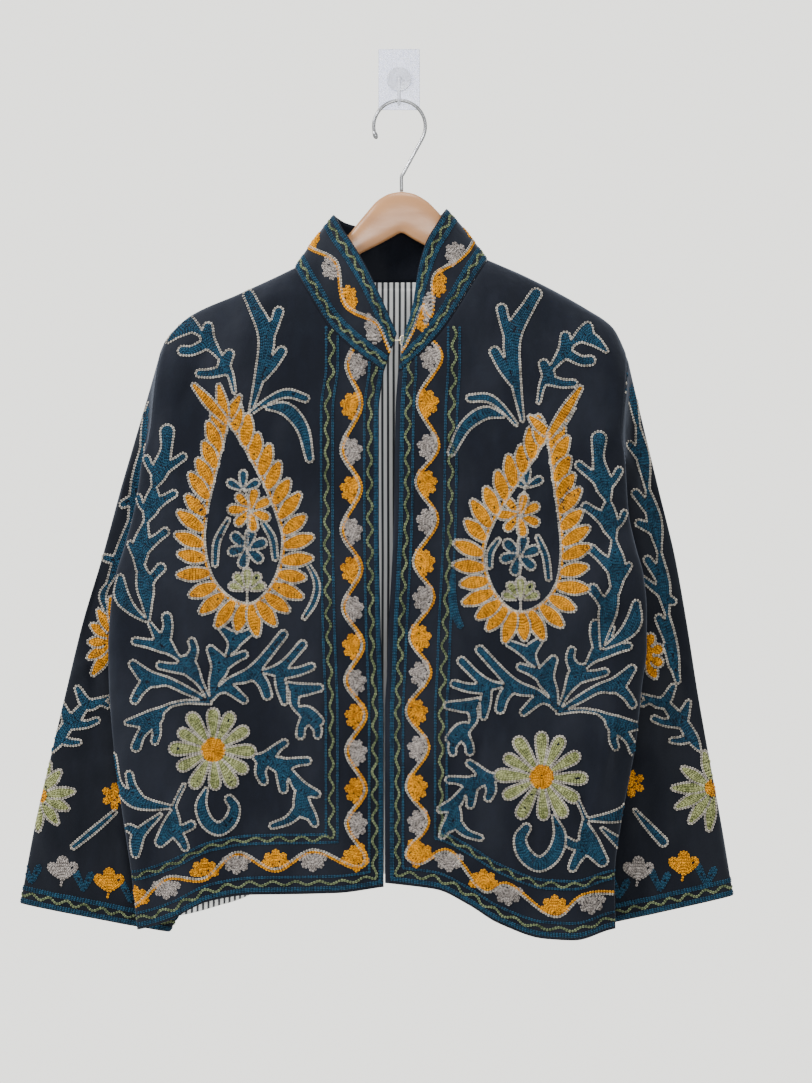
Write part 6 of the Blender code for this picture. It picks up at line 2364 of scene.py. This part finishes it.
@dataclass(frozen=True)
class Studio:
    """Floor, soft lights, world and the camera at the photo's viewing angle."""

    floor_z: float = -1.5
    floor_colour: tuple = (0.72, 0.72, 0.69, 1)
    eye: tuple = (0.007, -3.05, -0.4695)
    lens: float = 99.72
    sensor: float = 36.0
    aim: tuple = (0.0, 0.0, -0.5)
    lights: tuple = (  # name, place, size in metres, power in watts
        ("key", (-1.9, -1.4, 1.1), 0.7, 85), ("fill", (0.2, -3.0, -0.1), 0.9, 27),
        ("top", (0.1, -0.7, 1.6), 1.2, 22), ("back", (0.3, 2.2, 0.6), 1.8, 40),
    )
    world: tuple = ((0.96, 0.96, 0.92, 1), 1.25)  # colour and strength
    backdrop: tuple = ((1.0, 0.995, 0.94, 1), 2.15)

    def floor(self) -> None:
        """The floor that catches the shadow."""
        bpy.ops.mesh.primitive_plane_add(size=5, location=(0, -0.4, self.floor_z))
        floor = bpy.context.object
        floor.name = "floor"
        paint, *_ = MaterialShop.start("floor_paint", Coordinates.OBJECT, Roughness=0.9,
                                       Base_Color=self.floor_colour)
        floor.data.materials.append(paint)

    def light(self, name: str, spot: tuple, size: float, power: float) -> None:
        """A soft area light aimed at the jacket's middle."""
        lamp = bpy.data.lights.new(name, "AREA")
        lamp.shape, lamp.size, lamp.energy = "DISK", size, power
        lamp_object = finished(name, lamp)
        lamp_object.location = spot
        lamp_object.rotation_euler = (Vector(self.aim) - Vector(spot)).to_track_quat("-Z", "Y").to_euler()

    def surroundings(self) -> None:
        """The room's light, and the paler wall that the camera sees."""
        world = bpy.data.worlds.new("pale_room")
        world.use_nodes = True
        tree = world.node_tree
        room, wall = (put(tree, "ShaderNodeBackground", {"Color": colour, "Strength": strength})
                      for colour, strength in (self.world, self.backdrop))
        seen = put(tree, "ShaderNodeLightPath", {})
        either = put(tree, "ShaderNodeMixShader", {0: seen.outputs["Is Camera Ray"], 1: room.outputs[0],
                                                   2: wall.outputs[0]})
        tree.links.new(either.outputs[0], tree.nodes["World Output"].inputs["Surface"])
        bpy.context.scene.world = world

    def build(self) -> None:
        """Make the stage."""
        self.floor()
        for lamp in self.lights:
            self.light(*lamp)
        self.surroundings()
        lens = bpy.data.cameras.new("photo_view")
        lens.lens, lens.sensor_fit = self.lens, "VERTICAL"
        lens.sensor_width = lens.sensor_height = self.sensor
        camera = finished("photo_view", lens)
        camera.location, camera.rotation_euler = self.eye, (math.pi / 2, 0, 0)
        bpy.context.scene.camera = camera


def main() -> None:
    """Build the jacket piece by piece, then the studio."""
    logging.basicConfig(level=logging.INFO, format="%(name)s: %(message)s")
    shop = MaterialShop()
    velvet = {use: Velvet(f"velvet_{use}", *look).material(shop) for use, look in LIT_AND_SHADED_VELVETS.items()}
    garment = Garment()
    garment.build(velvet, StripedCotton().material(shop))
    Hanger().build(SatinTan().material(shop),
                   PlatedWire("bright_wire", (0.28, 0.285, 0.3), 0.2).material(shop))
    clear = ClearPlastic("clear_plate").material(shop)
    peg = ClearPlastic("clear_peg", (0.72, 0.74, 0.82), 0.1).material(shop)
    pale = PlatedWire("pale_metal", (0.88, 0.74, 0.5), 0.26).material(shop)
    for finish, *sizes in ((clear, "plate", "wall_plate", "clear_hook", 0.4),
                           (peg, "disc", "hook_disc", "clear_hook", 0.6),
                           (peg, "peg", "hook_peg", "clear_hook"),
                           (pale, "fastening_eye_wire", "fastening_eye", "fastening"),
                           (pale, "fastening_hook_wire", "fastening_hook", "fastening")):
        HardPiece(*sizes).build(finish)
    threads = {colour: Thread(colour).material(shop) for colour in ThreadColour}
    names = JacketEmbroidery(garment, Embroiderer(threads)).build()
    for node, plan in SHEET_PLANS.items():
        garment.sheets[node]
        plan.length * MM
    Studio().build()


if __name__ == "__main__":
    main()
